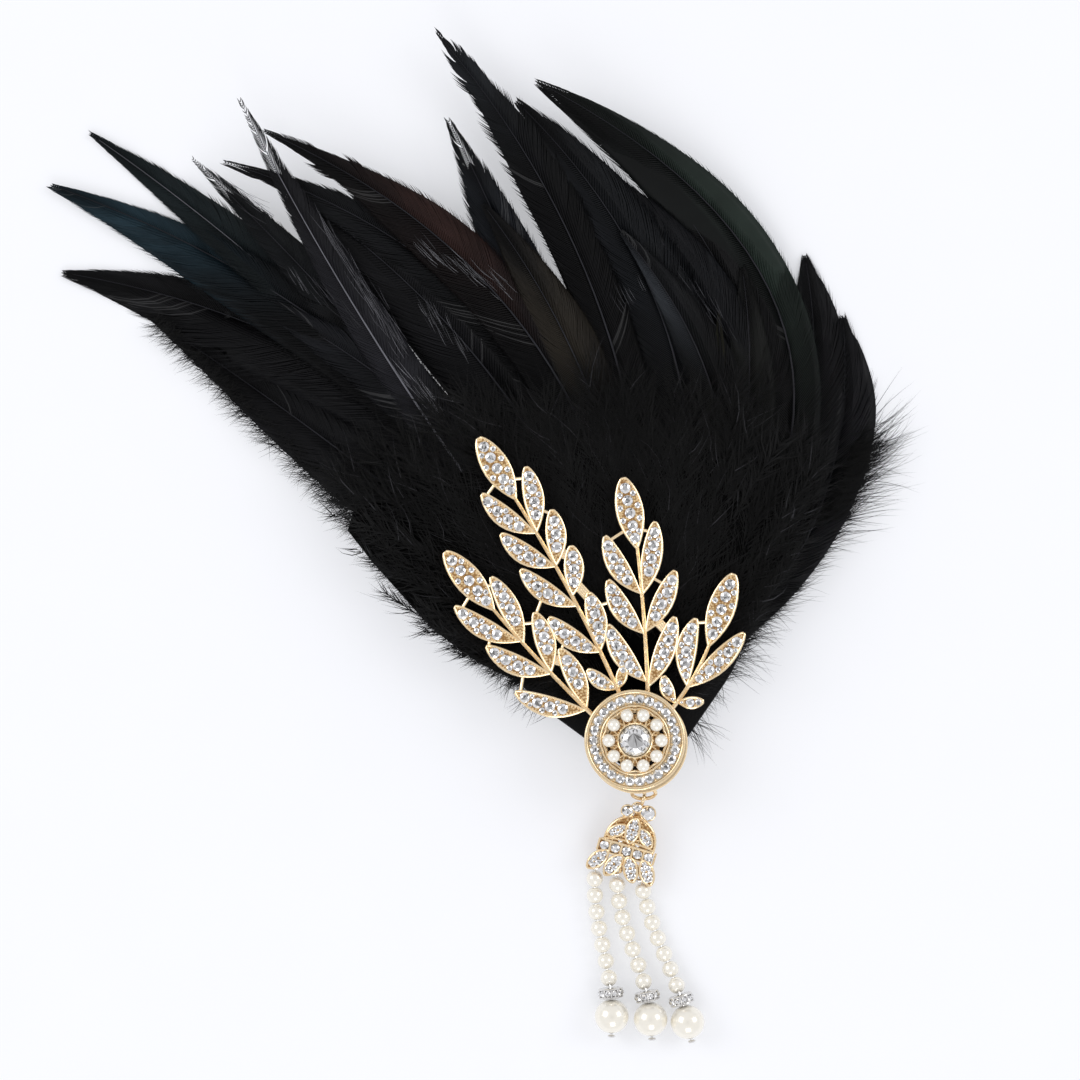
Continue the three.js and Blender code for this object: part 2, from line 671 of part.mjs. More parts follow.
function longFeathers() {
  const radius = QUILL_PAD_DIAMETER / 2;
  const pad = drum(radius, radius, quillBottom, quillBottom + QUILL_PAD_THICKNESS, 16);
  pad.translate(PLUME_ROOT.x, PLUME_ROOT.y, 0);
  const blades = FEATHERS.map((row) => {
    const half = (share, right) => {
      const narrow = Math.max(0, (share - row.hold) / (1 - row.hold));
      const tip = Math.cos(0.48 * Math.PI * narrow);
      const side = right > 0 ? row.right : row.left;
      return FEATHER_WIDTH * side * Math.min(0.35 + 1.7 * share, 1) * tip;
    };
    return solid(blade(row, FEATHER_LENGTH * row.length, FEATHER_STEPS, half, featherLevel));
  });
  return geometryOf(filled(join([solid(pad), ...blades])), 0.1);
}

function downLevel(x, y, up) {
  const floor = FEATHER_THICKNESS + LAYER_GAP;
  const bottom = Math.max(partingHeight(x, y) + LAYER_GAP / 2, floor);
  const clear = distanceToSprays(x, y);
  const loft = DOWN_LOFT * smoothstep(clear, 0.75 * SIDE_LEAF_LENGTH, 2 * SIDE_LEAF_LENGTH);
  const rise = up > 0 ? up * loft : 0;
  return bottom + (DOWN_THICKNESS * (1 + up)) / 2 + rise;
}

function down() {
  const radius = DOWN_PAD_DIAMETER / 2;
  const pad = drum(radius, radius, downBottom, downBottom + DOWN_PAD_THICKNESS, 16);
  pad.translate(PLUME_ROOT.x, PLUME_ROOT.y, 0);
  const locks = DOWN_LOCKS.map((row) => {
    const half = (share) => {
      const tip = Math.sqrt(1 - Math.max(0, (share - 0.5) / 0.52) ** 2);
      return (DOWN_WIDTH / 2) * Math.min(0.4 + 1.3 * share, 1) * tip;
    };
    const bent = { angle: row.angle, sweep: 0 };
    return solid(blade(bent, DOWN_LENGTH * row.length, DOWN_STEPS, half, downLevel));
  });
  return geometryOf(join([solid(pad), ...locks]), 0.1);
}

// A backing in the shape of a drop: two arcs and the lines that touch both.
function feltBacking() {
  const small = FELT_TIP_DIAMETER / 2;
  const large = FELT_WIDTH / 2;
  const between = FELT_LENGTH - small - large;
  const axis = radians(FELT_ANGLE);
  const touch = Math.acos((small - large) / between);
  const crown = FELT_TIP_PLACE.clone().addScaledVector(feltAxis, between);
  const outline = new THREE.Shape();
  outline.absarc(crown.x, crown.y, large, axis - touch, axis + touch);
  outline.absarc(FELT_TIP_PLACE.x, FELT_TIP_PLACE.y, small, axis + touch, axis - touch + 2 * Math.PI);
  return plate(outline, feltBottom, feltBottom + FELT_THICKNESS);
}

// A plain flat clip: two leaves that meet at the hinge end, with the jaw slot between them.
function hairClip() {
  const slotTop = CLIP_JAW + CLIP_SLOT;
  const profile = new THREE.Shape([
    new THREE.Vector2(0, 0),
    new THREE.Vector2(CLIP_LENGTH, 0),
    new THREE.Vector2(CLIP_LENGTH, CLIP_JAW),
    new THREE.Vector2(CLIP_HINGE, CLIP_JAW),
    new THREE.Vector2(CLIP_HINGE, slotTop),
    new THREE.Vector2(CLIP_LENGTH, slotTop),
    new THREE.Vector2(CLIP_LENGTH, CLIP_HEIGHT),
    new THREE.Vector2(0, CLIP_HEIGHT),
  ]);
  const clip = new THREE.ExtrudeGeometry(profile, { depth: CLIP_WIDTH, bevelEnabled: false });
  clip.translate(-CLIP_LENGTH / 2, 0, -CLIP_WIDTH / 2).rotateX(Math.PI / 2);
  return clip.rotateZ(radians(FELT_ANGLE));
}

// The jump ring hangs from the eyelet and carries the cap's loop at its lowest point.
const ringRadius = (JUMP_RING_DIAMETER - JUMP_RING_WIRE) / 2;
const ringFall = new THREE.Vector3(
  0,
  -Math.cos(radians(JUMP_RING_TILT)),
  -Math.sin(radians(JUMP_RING_TILT)),
);
const capPlace = eyeletCentre.clone().addScaledVector(ringFall, 2 * ringRadius);

function jumpRing() {
  const ring = new THREE.TorusGeometry(ringRadius, JUMP_RING_WIRE / 2, 6, 16);
  ring.rotateX(radians(JUMP_RING_TILT));
  const centre = eyeletCentre.clone().addScaledVector(ringFall, ringRadius);
  return ring.translate(centre.x, centre.y, centre.z);
}

// The cap lies from its loop down to the strands, so its tilt follows from their heights.
const lugHole = STRAND_WIRE / 2 + LINK_GAP;
const lugDepth = CAP_THICKNESS / 2 + SEAT_GAP + lugHole;
const lugReach = 0.86 * CAP_LENGTH;
const strandRingHeight = STRAND_PEARL_DIAMETER / 2 + STRAND_WIRE;
const capTilt = Math.asin((capPlace.z - lugDepth - strandRingHeight) / lugReach);

function petalSolids(row) {
  const leaf = { length: PETAL_LENGTH, width: PETAL_WIDTH, bow: 0 };
  const bottom = -CAP_THICKNESS / 2;
  const top = CAP_THICKNESS / 2 + PETAL_RISE * row.rise;
  const stone = drum(1, 0.6, top - STONE_HEIGHT / 4, top + STONE_HEIGHT * 0.7, 8);
  stone.scale(PETAL_LENGTH * 0.36, PETAL_WIDTH * 0.34, 1);
  return [plate(petalOutline(leaf), bottom, top), stone].map((piece) => {
    piece.rotateZ(radians(row.turn - 90));
    return solid(piece.translate(row.x * CAP_WIDTH, row.y * CAP_LENGTH, 0));
  });
}

// A pointed oval round the origin, long along X.
function petalOutline({ length, width }) {
  const steps = 10;
  const points = [];
  for (let i = 0; i < steps; i++) {
    const angle = (2 * Math.PI * i) / steps;
    const half = (width / 2) * Math.sin(angle) * Math.abs(Math.sin(angle)) ** 0.3;
    points.push(new THREE.Vector2((length / 2) * Math.cos(angle), half));
  }
  return points;
}

function capFan() {
  const steps = 8;
  const points = [new THREE.Vector2(CAP_WIDTH * 0.49, -0.6 * CAP_LENGTH)];
  for (let i = 0; i <= steps; i++) {
    const angle = (Math.PI * i) / steps;
    const x = CAP_WIDTH * (0.5 * Math.cos(angle) - 0.02);
    points.push(new THREE.Vector2(x, CAP_LENGTH * (0.34 * Math.sin(angle) - 0.57)));
  }
  points.push(new THREE.Vector2(-CAP_WIDTH * 0.53, -0.6 * CAP_LENGTH));
  return points;
}

function tasselCap() {
  const bottom = -CAP_THICKNESS / 2;
  const top = CAP_THICKNESS / 2;
  const loopHole = JUMP_RING_WIRE / 2 + LINK_GAP;
  const neck = new THREE.BoxGeometry(LOOP_WIRE * 2, CAP_LENGTH * 0.3, CAP_THICKNESS);
  neck.translate(0, -loopHole - LOOP_WIRE / 2 - CAP_LENGTH * 0.15, 0);
  const row = new THREE.BoxGeometry(CAP_WIDTH * 1.08, CAP_LENGTH * 0.15, CAP_THICKNESS);
  row.translate(-0.03 * CAP_WIDTH, -0.65 * CAP_LENGTH, 0);
  const pieces = [neck, row, plate(capFan(), bottom, top)];
  pieces.push(standingLoop(loopHole, LOOP_WIRE, new THREE.Vector3(), 12));
  for (const place of CAP_STONES) {
    const diameter = CAP_STONE_DIAMETER * place.size;
    const set = [cutStone(diameter, top)];
    if (place.cupped) set.push(drum(diameter * 0.62, diameter * 0.62, bottom, top, 8));
    for (const piece of set)
      pieces.push(piece.translate(place.x * CAP_WIDTH, place.y * CAP_LENGTH, 0));
  }
  for (const strand of STRANDS) {
    const centre = new THREE.Vector3(strand.x * CAP_WIDTH, -lugReach, -lugDepth);
    pieces.push(standingLoop(lugHole, LOOP_WIRE, centre, 10, strand.aim - CAP_TURN));
  }
  return geometryOf(join([...pieces.map(solid), ...CAP_PETALS.flatMap(petalSolids)]));
}

// A strand's route and the places of what is strung on it, from its lug on the cap.
function strandLayout(strand, capMatrix) {
  const lug = new THREE.Vector3(strand.x * CAP_WIDTH, -lugReach, -lugDepth).applyMatrix4(capMatrix);
  const ringReach = (STRAND_RING_DIAMETER - STRAND_WIRE) / 2;
  const firstPearl = 2 * ringReach + (STRAND_PEARL_DIAMETER + STRAND_WIRE) / 2;
  const lastPearl = firstPearl + STRAND_PEARL_PITCH * (STRAND_PEARLS - 1);
  const rondelle = lastPearl + (STRAND_PEARL_DIAMETER + RONDELLE_THICKNESS) / 2 + SEAT_GAP;
  const drop = rondelle + (RONDELLE_THICKNESS + DROP_PEARL_DIAMETER) / 2 + SEAT_GAP;
  const end = drop + DROP_PEARL_DIAMETER / 2 + SEAT_GAP + PIN_HEAD_DIAMETER / 2;
  const heights = [
    { at: 2 * ringReach, height: lug.z },
    { at: firstPearl + STRAND_PEARL_PITCH, height: STRAND_PEARL_DIAMETER / 2 },
    { at: lastPearl - STRAND_PEARL_PITCH, height: STRAND_PEARL_DIAMETER / 2 },
    { at: rondelle - RONDELLE_THICKNESS / 2, height: DROP_PEARL_DIAMETER / 2 },
    { at: end, height: DROP_PEARL_DIAMETER / 2 },
  ];
  const flat = new THREE.Vector2(lug.x, lug.y);
  const heightAt = (distance) => {
    const next = Math.max(1, heights.findIndex((row) => row.at >= distance));
    const [low, high] = [heights[next - 1], heights[next]];
    const share = smoothstep(distance, low.at, high.at);
    return low.height + (high.height - low.height) * share;
  };
  const point = (distance) => {
    const share = distance / end;
    const sway = -strand.sway * end * Math.sin(2 * Math.PI * share);
    const place = bowedPoint(flat, strand.aim - 90, end, 0, share);
    const side = radians(strand.aim);
    return new THREE.Vector3(
      place.x + sway * Math.cos(side),
      place.y + sway * Math.sin(side),
      heightAt(distance),
    );
  };
  return { lug, ringReach, firstPearl, lastPearl, rondelle, drop, end, point };
}

// The half width of the strand's wire and pearls, by distance from the lug.
function strandRings(layout) {
  const pearl = STRAND_PEARL_DIAMETER / 2;
  const wire = STRAND_WIRE / 2;
  const head = PIN_HEAD_DIAMETER / 2;
  const rings = [{ at: 2 * layout.ringReach - wire / 2, radius: wire }];
  rings.push({ at: layout.firstPearl - STRAND_PEARL_PITCH / 2, radius: wire });
  for (let i = 0; i < STRAND_PEARLS; i++) {
    const middle = layout.firstPearl + i * STRAND_PEARL_PITCH;
    rings.push({ at: middle - 0.45 * pearl, radius: 0.96 * pearl });
    rings.push({ at: middle + 0.45 * pearl, radius: 0.96 * pearl });
    rings.push({ at: middle + STRAND_PEARL_PITCH / 2, radius: wire });
  }
  for (const middle of [layout.rondelle, layout.drop]) rings.push({ at: middle, radius: wire });
  rings.push({ at: layout.end - head, radius: wire });
  rings.push({ at: layout.end - head * 0.7, radius: head * 0.85 });
  rings.push({ at: layout.end, radius: head });
  rings.push({ at: layout.end + head * 0.6, radius: head * 0.7 });
  return rings;
}

function frameAt(layout, distance) {
  const place = layout.point(distance);
  const ahead = layout.point(distance + 0.05).sub(place).normalize();
  const right = new THREE.Vector3(ahead.y, -ahead.x, 0).normalize();
  const up = new THREE.Vector3().crossVectors(right, ahead);
  return { place, ahead, right, up };
}

function pearlStrand(layout) {
  const rings = strandRings(layout);
  const steps = rings.length - 1;
  const string = mappedTube(10, steps, (share, right, up) => {
    const ring = rings[Math.round(share * steps)];
    const frame = frameAt(layout, ring.at);
    return frame.place
      .addScaledVector(frame.right, right * ring.radius)
      .addScaledVector(frame.up, up * ring.radius);
  });
  const wire = STRAND_WIRE / 2;
  const loop = new THREE.TorusGeometry(layout.ringReach, wire, 6, 10);
  const centre = layout.point(layout.ringReach);
  loop.translate(centre.x, centre.y, layout.lug.z);
  return geometryOf(join([solid(string), solid(loop)]));
}

// A bead turned from a profile round its bore, set on the strand.
function strung(profile, layout, distance, sides) {
  const bore = STRAND_WIRE / 2 + SEAT_GAP;
  const { place, ahead, right, up } = frameAt(layout, distance);
  const closed = [[bore, profile[0][1]], ...profile, [bore, profile.at(-1)[1]]];
  closed.push(closed[0]);
  const points = closed.map(([radius, height]) => new THREE.Vector2(radius, height));
  const bead = new THREE.LatheGeometry(points, sides);
  bead.applyMatrix4(new THREE.Matrix4().makeBasis(right, ahead, up));
  return bead.translate(place.x, place.y, place.z);
}

function rondelleProfile() {
  const half = RONDELLE_THICKNESS / 2;
  const radius = RONDELLE_DIAMETER / 2;
  return [
    [radius * 0.86, -half],
    [radius, -half * 0.45],
    [radius, half * 0.45],
    [radius * 0.86, half],
  ];
}

function dropPearlProfile() {
  const bore = STRAND_WIRE / 2 + SEAT_GAP;
  const radius = DROP_PEARL_DIAMETER / 2;
  const start = Math.asin(bore / radius);
  const steps = 5;
  const points = [];
  for (let i = 1; i < steps; i++) {
    const angle = start + ((Math.PI - 2 * start) * i) / steps;
    points.push([radius * Math.sin(angle), -radius * Math.cos(angle)]);
  }
  const end = radius * Math.cos(start);
  return [[bore * 1.15, -end], ...points, [bore * 1.15, end]];
}

const finishes = {
  gilt: new THREE.MeshStandardMaterial({ color: 0xd9b072, roughness: 0.25, metalness: 1 }),
  silver: new THREE.MeshStandardMaterial({ color: 0xd6d6d8, roughness: 0.2, metalness: 1 }),
  crystal: new THREE.MeshStandardMaterial({ color: 0xeef2f6, roughness: 0.05, metalness: 0 }),
  pearl: new THREE.MeshStandardMaterial({ color: 0xf3ead9, roughness: 0.25, metalness: 0 }),
  feather: new THREE.MeshStandardMaterial({ color: 0x0b0b0c, roughness: 0.55, metalness: 0 }),
  felt: new THREE.MeshStandardMaterial({ color: 0x0d0d0e, roughness: 0.95, metalness: 0 }),
  steel: new THREE.MeshStandardMaterial({ color: 0x2a2a2c, roughness: 0.4, metalness: 1 }),
};

const model = new THREE.Group();

function add(name, geometry, finish, group = model) {
  const mesh = new THREE.Mesh(geometry, finishes[finish]);
  mesh.name = name;
  group.add(mesh);
  return mesh;
}

const clipMiddle = FELT_TIP_PLACE.clone().addScaledVector(
  feltAxis,
  (FELT_LENGTH - FELT_TIP_DIAMETER) / 2,
);
add("hair_clip", hairClip(), "steel").position.set(clipMiddle.x, clipMiddle.y, 0);
add("felt_backing", feltBacking(), "felt");
add("long_feathers", longFeathers(), "feather");
add("down", down(), "feather");
add("leaf_casting", leafCasting(), "gilt");
add("medallion", medallion(), "gilt");
add("rosette", rosette(), "gilt");
add("centre_stone", centreStone(), "crystal");

for (let i = 0; i < ROSETTE_PEARLS; i++) {
  const angle = (2 * Math.PI * i) / ROSETTE_PEARLS;
  const radius = ROSETTE_PEARL_DIAMETER / 2;
  const name = `rosette_pearl_${String(i + 1).padStart(2, "0")}`;
  const pearl = add(name, new THREE.SphereGeometry(radius, 10, 5), "pearl");
  pearl.rotation.x = Math.PI / 2;
  pearl.position.set(
    pearlCircle * Math.cos(angle),
    pearlCircle * Math.sin(angle),
    rosetteTop + SEAT_GAP + radius,
  );
}

add("jump_ring", jumpRing(), "gilt");

const cap = new THREE.Group();
cap.position.copy(capPlace);
cap.rotation.set(capTilt, 0, radians(CAP_TURN), "ZYX");
cap.updateMatrix();
model.add(cap);
add("tassel_cap", tasselCap(), "gilt", cap);

for (const strand of STRANDS) {
  const layout = strandLayout(strand, cap.matrix);
  add(`pearl_strand_${strand.name}`, pearlStrand(layout), "pearl");
  const rondelle = strung(rondelleProfile(), layout, layout.rondelle, 10);
  add(`rondelle_${strand.name}`, rondelle, "silver");
  const drop = strung(dropPearlProfile(), layout, layout.drop, 10);
  add(`drop_pearl_${strand.name}`, drop, "pearl");
}

model.position.set(-clipMiddle.x, -clipMiddle.y, 0);
const headpiece = new THREE.Group();
headpiece.add(model);

export default headpiece;
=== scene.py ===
import math
from collections import namedtuple

import bpy
import numpy as np
from bpy.props import FloatProperty, FloatVectorProperty, IntProperty, PointerProperty
from mathutils import Matrix, Vector


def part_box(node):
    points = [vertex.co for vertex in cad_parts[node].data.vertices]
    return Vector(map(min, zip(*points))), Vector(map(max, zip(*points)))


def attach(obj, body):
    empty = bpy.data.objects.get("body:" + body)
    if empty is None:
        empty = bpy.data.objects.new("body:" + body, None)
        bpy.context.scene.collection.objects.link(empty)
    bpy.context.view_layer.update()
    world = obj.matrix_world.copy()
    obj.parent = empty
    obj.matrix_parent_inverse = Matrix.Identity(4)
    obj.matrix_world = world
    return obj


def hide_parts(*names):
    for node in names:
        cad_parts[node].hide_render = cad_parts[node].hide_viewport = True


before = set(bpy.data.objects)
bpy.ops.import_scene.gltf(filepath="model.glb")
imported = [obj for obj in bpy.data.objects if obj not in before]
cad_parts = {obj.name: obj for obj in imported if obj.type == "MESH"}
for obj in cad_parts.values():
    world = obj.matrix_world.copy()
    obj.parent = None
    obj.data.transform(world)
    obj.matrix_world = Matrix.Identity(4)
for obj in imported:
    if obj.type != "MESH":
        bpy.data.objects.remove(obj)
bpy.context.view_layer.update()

bl_info = {
    "name": "Feather hair clip",
    "version": (1, 0, 0),
    "blender": (4, 5, 0),
    "location": "View3D > Sidebar > Hair clip",
    "description": "Dresses a feather hair clip with feathers, down, gilt leaves, stones and pearls",
    "category": "Object",
}

MM = 0.001
BODY = "root"


def linear(hex_colour):
    """A hex colour in sRGB as linear red, green, blue and alpha."""
    parts = [int(hex_colour[i : i + 2], 16) / 255 for i in (1, 3, 5)]
    steps = [c / 12.92 if c <= 0.04045 else ((c + 0.055) / 1.055) ** 2.4 for c in parts]
    return (*steps, 1.0)


def middle_of(node):
    """The middle of a CAD node's box, in millimetres."""
    low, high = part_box(node)
    return (low + high) / (2 * MM)


# Places in plan are in millimetres from the medallion's axis, which the frame gives.
AXIS = middle_of("medallion")
FELT_WIDTH = 58
FELT_LENGTH = 68
FELT_TIP_DIAMETER = 12
FELT_THICKNESS = 2
FELT_ANGLE = 99.6
FELT_TIP_PLACE = np.array((0.05, -0.054)) * FELT_WIDTH
PLUME_ROOT = np.array((0.022, 0.157)) * FELT_WIDTH

# Levels in millimetres above the surface
FELT_BOTTOM = 5.3
CASTING_BOTTOM = 13.0
BED_LEVEL = 14.45
MEDALLION_BOTTOM = 14.8
MEDALLION_TOP = 17.0
CHANNEL_LEVEL = 16.6
ROSETTE_BOTTOM = 16.3
ROSETTE_TOP = 17.1
CENTRE_GIRDLE = 18.6
PARTING_LEVEL = 10.25

PLUME_ANGLE = 108
FLOOR_REACH = 70
TIP_SAG = 0.35
TIP_REACH = 185
LAYER_GAP = 1.8
FEATHER_THICKNESS = 1.2


def colour_property(name, description, hex_colour):
    return FloatVectorProperty(
        name=name,
        description=description,
        default=linear(hex_colour),
        size=4,
        min=0,
        max=1,
        subtype="COLOR",
    )


def length_property(name, description, millimetres):
    return FloatProperty(
        name=name, description=description, default=millimetres * MM, min=0, unit="LENGTH"
    )


class PlumeSettings(bpy.types.PropertyGroup):
    """Sizes and colours of the long feathers and the down."""

    feather_length: length_property("Feather length", "Longest feather, quill to tip", 185)
    feather_width: length_property("Feather width", "Widest vane", 20)
    barb_spacing: length_property("Barb spacing", "Between barbs along the shaft", 0.6)
    barb_width: length_property("Barb width", "Width of one barb at the shaft", 0.42)
    camber: length_property("Camber", "Fall of the widest vane to its edge", 1.3)
    down_length: length_property("Down length", "Longest plume of down", 88)
    down_plumes: IntProperty(
        name="Down plumes", description="Plumes of down in the fan", default=120, min=1
    )
    down_barbs: IntProperty(
        name="Down barbs", description="Barbs on one plume of down", default=165, min=1
    )
    feather_colour: colour_property("Feather", "Dyed vane", "#060607")
    down_colour: colour_property("Down", "Dyed down", "#060606")


class OrnamentSettings(bpy.types.PropertyGroup):
    """Sizes and colours of the gilt leaves and the medallion."""

    leaf_length: length_property("Leaf length", "Side leaf", 16)
    leaf_width: length_property("Leaf width", "Side leaf", 5)
    terminal_length: length_property("End leaf length", "Leaf at a stem's end", 17.7)
    terminal_width: length_property("End leaf width", "Leaf at a stem's end", 6.6)
    rim_wire: length_property("Rim", "Width of a leaf's raised rim", 0.6)
    stem_wire: length_property("Stem", "Width of a stem at its foot", 1.0)
    stone_diameter: length_property("Leaf stone", "Stones on the leaves", 2.45)
    band_stone: length_property("Band stone", "Stones round the medallion", 2.28)
    medallion_diameter: length_property("Medallion", "Over its rim", 23.4)
    centre_stone: length_property("Centre stone", "Stone in the medallion", 7.2)
    gilt_colour: colour_property("Gilt", "Polished plating", "#fff0d0")
    grain_colour: colour_property("Gilt grain", "Plating in the beds", "#f8dca8")
    # Both stone colours are painted reflection: bright facets as if they mirrored foil and lamps, dark ones
    # as if they mirrored nothing bright.
    stone_colour: colour_property("Stone", "Bright facets", "#ffffff")
    dark_reflection_colour: colour_property("Stone shade", "Dark facets", "#4a443e")


class TasselSettings(bpy.types.PropertyGroup):
    """Sizes and colours of the tassel."""

    pearl_diameter: length_property("Pearl", "Pearls on the strands", 4)
    drop_diameter: length_property("Drop pearl", "Pearl at a strand's end", 8)
    rondelle_diameter: length_property("Rondelle", "Ring of stones", 6.2)
    pearl_colour: colour_property("Pearl", "Pearl coating", "#f8f4ea")
    silver_colour: colour_property("Silver", "Rondelles and pins", "#f1efec")


# Modelling helpers


def deselect():
    """Leaves edit mode and selects nothing."""
    if bpy.context.mode != "OBJECT":
        bpy.ops.object.mode_set(mode="OBJECT")
    bpy.ops.object.select_all(action="DESELECT")


def hold(obj):
    """Makes one object the only selected one."""
    deselect()
    obj.select_set(True)
    bpy.context.view_layer.objects.active = obj
    return obj


def edit(obj):
    """Opens one object in edit mode with all of it selected."""
    hold(obj)
    bpy.ops.object.mode_set(mode="EDIT")
    bpy.ops.mesh.select_all(action="SELECT")
    return obj


def added(name):
    """The object that the last primitive made, with its place put into its mesh."""
    obj = bpy.context.object
    obj.name = name
    bpy.ops.object.transform_apply(location=True, rotation=True, scale=True)
    return obj


def mesh_object(name, vertices, faces, edges=()):
    mesh = bpy.data.meshes.new(name)
    mesh.from_pydata([tuple(v) for v in vertices], list(edges), faces)
    mesh.update()
    obj = bpy.data.objects.new(name, mesh)
    bpy.context.collection.objects.link(obj)
    return obj


def placed(x, y, z):
    """A point given from the medallion's axis in millimetres, as a point of the frame."""
    return Vector(((x + AXIS.x) * MM, (y + AXIS.y) * MM, z * MM))


def pointing(angle):
    """A direction in plan, at an angle in radians."""
    return np.stack((np.cos(angle), np.sin(angle)), axis=-1)


def left_of(way):
    """The direction in plan to the left of another."""
    return np.stack((-way[..., 1], way[..., 0]), axis=-1)


def around(reach, angle):
    """X and Y at a distance from the middle and an angle in radians."""
    return reach * math.cos(angle), reach * math.sin(angle)


def metres(points):
    """Points in plan, in millimetres, in metres."""
    return [(x * MM, y * MM) for x, y in points]


def joined(name, objects):
    """One object of several, all of which are used up."""
    hold(objects[0])
    for obj in objects:
        obj.select_set(True)
    if len(objects) > 1:
        bpy.ops.object.join()
    result = bpy.context.object
    result.name = name
    result.data.name = name
    return result


def finished(obj, nodes):
    """Hands a piece to the frame: its body and the CAD nodes it stands for."""
    hold(obj)
    bpy.ops.object.transform_apply(location=True, rotation=True, scale=True)
    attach(obj, BODY)
    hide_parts(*nodes)
    return obj


def give(obj, *materials):
    obj.data.materials.clear()
    for material in materials:
        obj.data.materials.append(material)
    return obj


def facing_out(obj):
    """Turns the faces of the mesh in edit mode outwards and closes it."""
    bpy.ops.mesh.select_all(action="SELECT")
    bpy.ops.mesh.normals_make_consistent(inside=False)
    deselect()
    return obj


def smooth(obj):
    hold(obj)
    bpy.ops.object.shade_smooth()
    return obj


def smooth_by_angle(obj, degrees=35):
    hold(obj)
    bpy.ops.object.shade_smooth_by_angle(angle=math.radians(degrees))
    return obj


def spun(name, profile, steps):
    """A closed profile of radius and height pairs in millimetres, spun round the Z axis."""
    count = len(profile)
    corners = [(radius * MM, 0, height * MM) for radius, height in profile]
    edges = [(i, (i + 1) % count) for i in range(count)]
    obj = edit(mesh_object(name, corners, [], edges))
    bpy.ops.mesh.spin(steps=steps, angle=2 * math.pi, center=(0, 0, 0), axis=(0, 0, 1))
    bpy.ops.mesh.select_all(action="SELECT")
    bpy.ops.mesh.remove_doubles(threshold=1e-6)
    return facing_out(obj)


def wire(name, paths, radius, sides=8, closed=False, taper=None):
    """Round wire along paths in metres, made as a bevelled curve and turned into a mesh."""
    curve = bpy.data.curves.new(name, "CURVE")
    curve.dimensions = "3D"
    curve.bevel_depth = radius * MM
    curve.bevel_resolution = sides // 2 - 2
    curve.use_fill_caps = True
    for path in paths:
        spline = curve.splines.new("POLY")
        spline.points.add(len(path) - 1)
        for i, point in enumerate(path):
            spline.points[i].co = (*point, 1)
            spline.points[i].radius = taper(i / (len(path) - 1)) if taper else 1
        spline.use_cyclic_u = closed
        spline.use_smooth = True
    obj = bpy.data.objects.new(name, curve)
    bpy.context.collection.objects.link(obj)
    hold(obj)
    bpy.ops.object.convert(target="MESH")
    obj = edit(bpy.context.object)
    bpy.ops.mesh.remove_doubles(threshold=1e-7)
    return facing_out(obj)


def slab(name, outlines, bottom, top, bevel=0.0):
    """Flat outlines in metres, extruded in edit mode between two levels in millimetres."""
    vertices = []
    faces = []
    for outline in outlines:
        faces.append(tuple(range(len(vertices), len(vertices) + len(outline))))
        vertices += [(x, y, bottom * MM) for x, y in outline]
    obj = edit(mesh_object(name, vertices, faces))
    rise = {"value": (0, 0, (top - bottom) * MM)}
    bpy.ops.mesh.extrude_region_move(TRANSFORM_OT_translate=rise)
    facing_out(obj)
    if bevel:
        soften(obj, bevel, 2)
    return obj


def soften(obj, width, segments):
    """Rounds the sharp edges with a Bevel modifier and applies it."""
    hold(obj)
    bevel = obj.modifiers.new("Rounded edges", "BEVEL")
    bevel.width = width * MM
    bevel.segments = segments
    bevel.limit_method = "ANGLE"
    bevel.angle_limit = math.radians(40)
    bpy.ops.object.modifier_apply(modifier=bevel.name)
    return obj


def scattered(name, pattern, matrices):
    """Copies of one small model at many places, as one mesh. The pattern is used up."""
    source = pattern.data
    count = len(source.vertices)
    flat = np.empty(count * 3)
    source.vertices.foreach_get("co", flat)
    corners = flat.reshape(-1, 3)
    shape = [tuple(face.vertices) for face in source.polygons]
    smooth = [face.use_smooth for face in source.polygons]
    slots = [face.material_index for face in source.polygons]
    vertices = []
    faces = []
    for k, matrix in enumerate(matrices):
        m = np.array(matrix)
        vertices.append(corners @ m[:3, :3].T + m[:3, 3])
        faces += [tuple(v + k * count for v in face) for face in shape]
    obj = mesh_object(name, np.concatenate(vertices), faces)
    obj.data.polygons.foreach_set("use_smooth", smooth * len(matrices))
    obj.data.polygons.foreach_set("material_index", slots * len(matrices))
    bpy.data.objects.remove(pattern)
    return obj


def at(x, y, z, turn=0.0, size=1.0):
    """A matrix that places a pattern from the medallion's axis, turned round Z."""
    rotation = Matrix.Rotation(math.radians(turn), 4, "Z")
    return Matrix.Translation(placed(x, y, z)) @ rotation @ Matrix.Scale(size, 4)


def bead(name, diameter, detail=1):
    """A round grain of metal."""
    deselect()
    bpy.ops.mesh.primitive_ico_sphere_add(subdivisions=detail, radius=diameter / 2 * MM)
    return smooth(added(name))


def torus(name, radius, half_wire, segments, sides, location=(0, 0, 0), rotation=(0, 0, 0)):
    """A round ring of wire. Its sizes are in millimetres, its place in metres."""
    deselect()
    bpy.ops.mesh.primitive_torus_add(
        major_radius=radius * MM,
        minor_radius=half_wire * MM,
        major_segments=segments,
        minor_segments=sides,
        location=location,
        rotation=rotation,
    )
    return added(name)


def brilliant(name, diameter, crown, depth, sides=8):
    """A round cut stone: rings of corners for table, crown and girdle, and the hull round them."""
    radius = diameter / 2 * MM
    half_turn = math.pi / sides
    rings = [
        (sides, 0.5 * radius, crown, half_turn),
        (sides, 0.8 * radius, 0.55 * crown, 0),
        (2 * sides, radius, 0, half_turn / 2),
        (2 * sides, 0.97 * radius, -0.12 * crown, half_turn / 2),
        (sides, 0.6 * radius, -depth, 0),
    ]
    deselect()
    parts = []
    for count, reach, level, turn in rings:
        deselect()
        bpy.ops.mesh.primitive_circle_add(
            vertices=count, radius=reach, location=(0, 0, level * MM), rotation=(0, 0, turn)
        )
        parts.append(added(name))
    obj = edit(joined(name, parts))
    bpy.ops.mesh.convex_hull()
    return facing_out(obj)


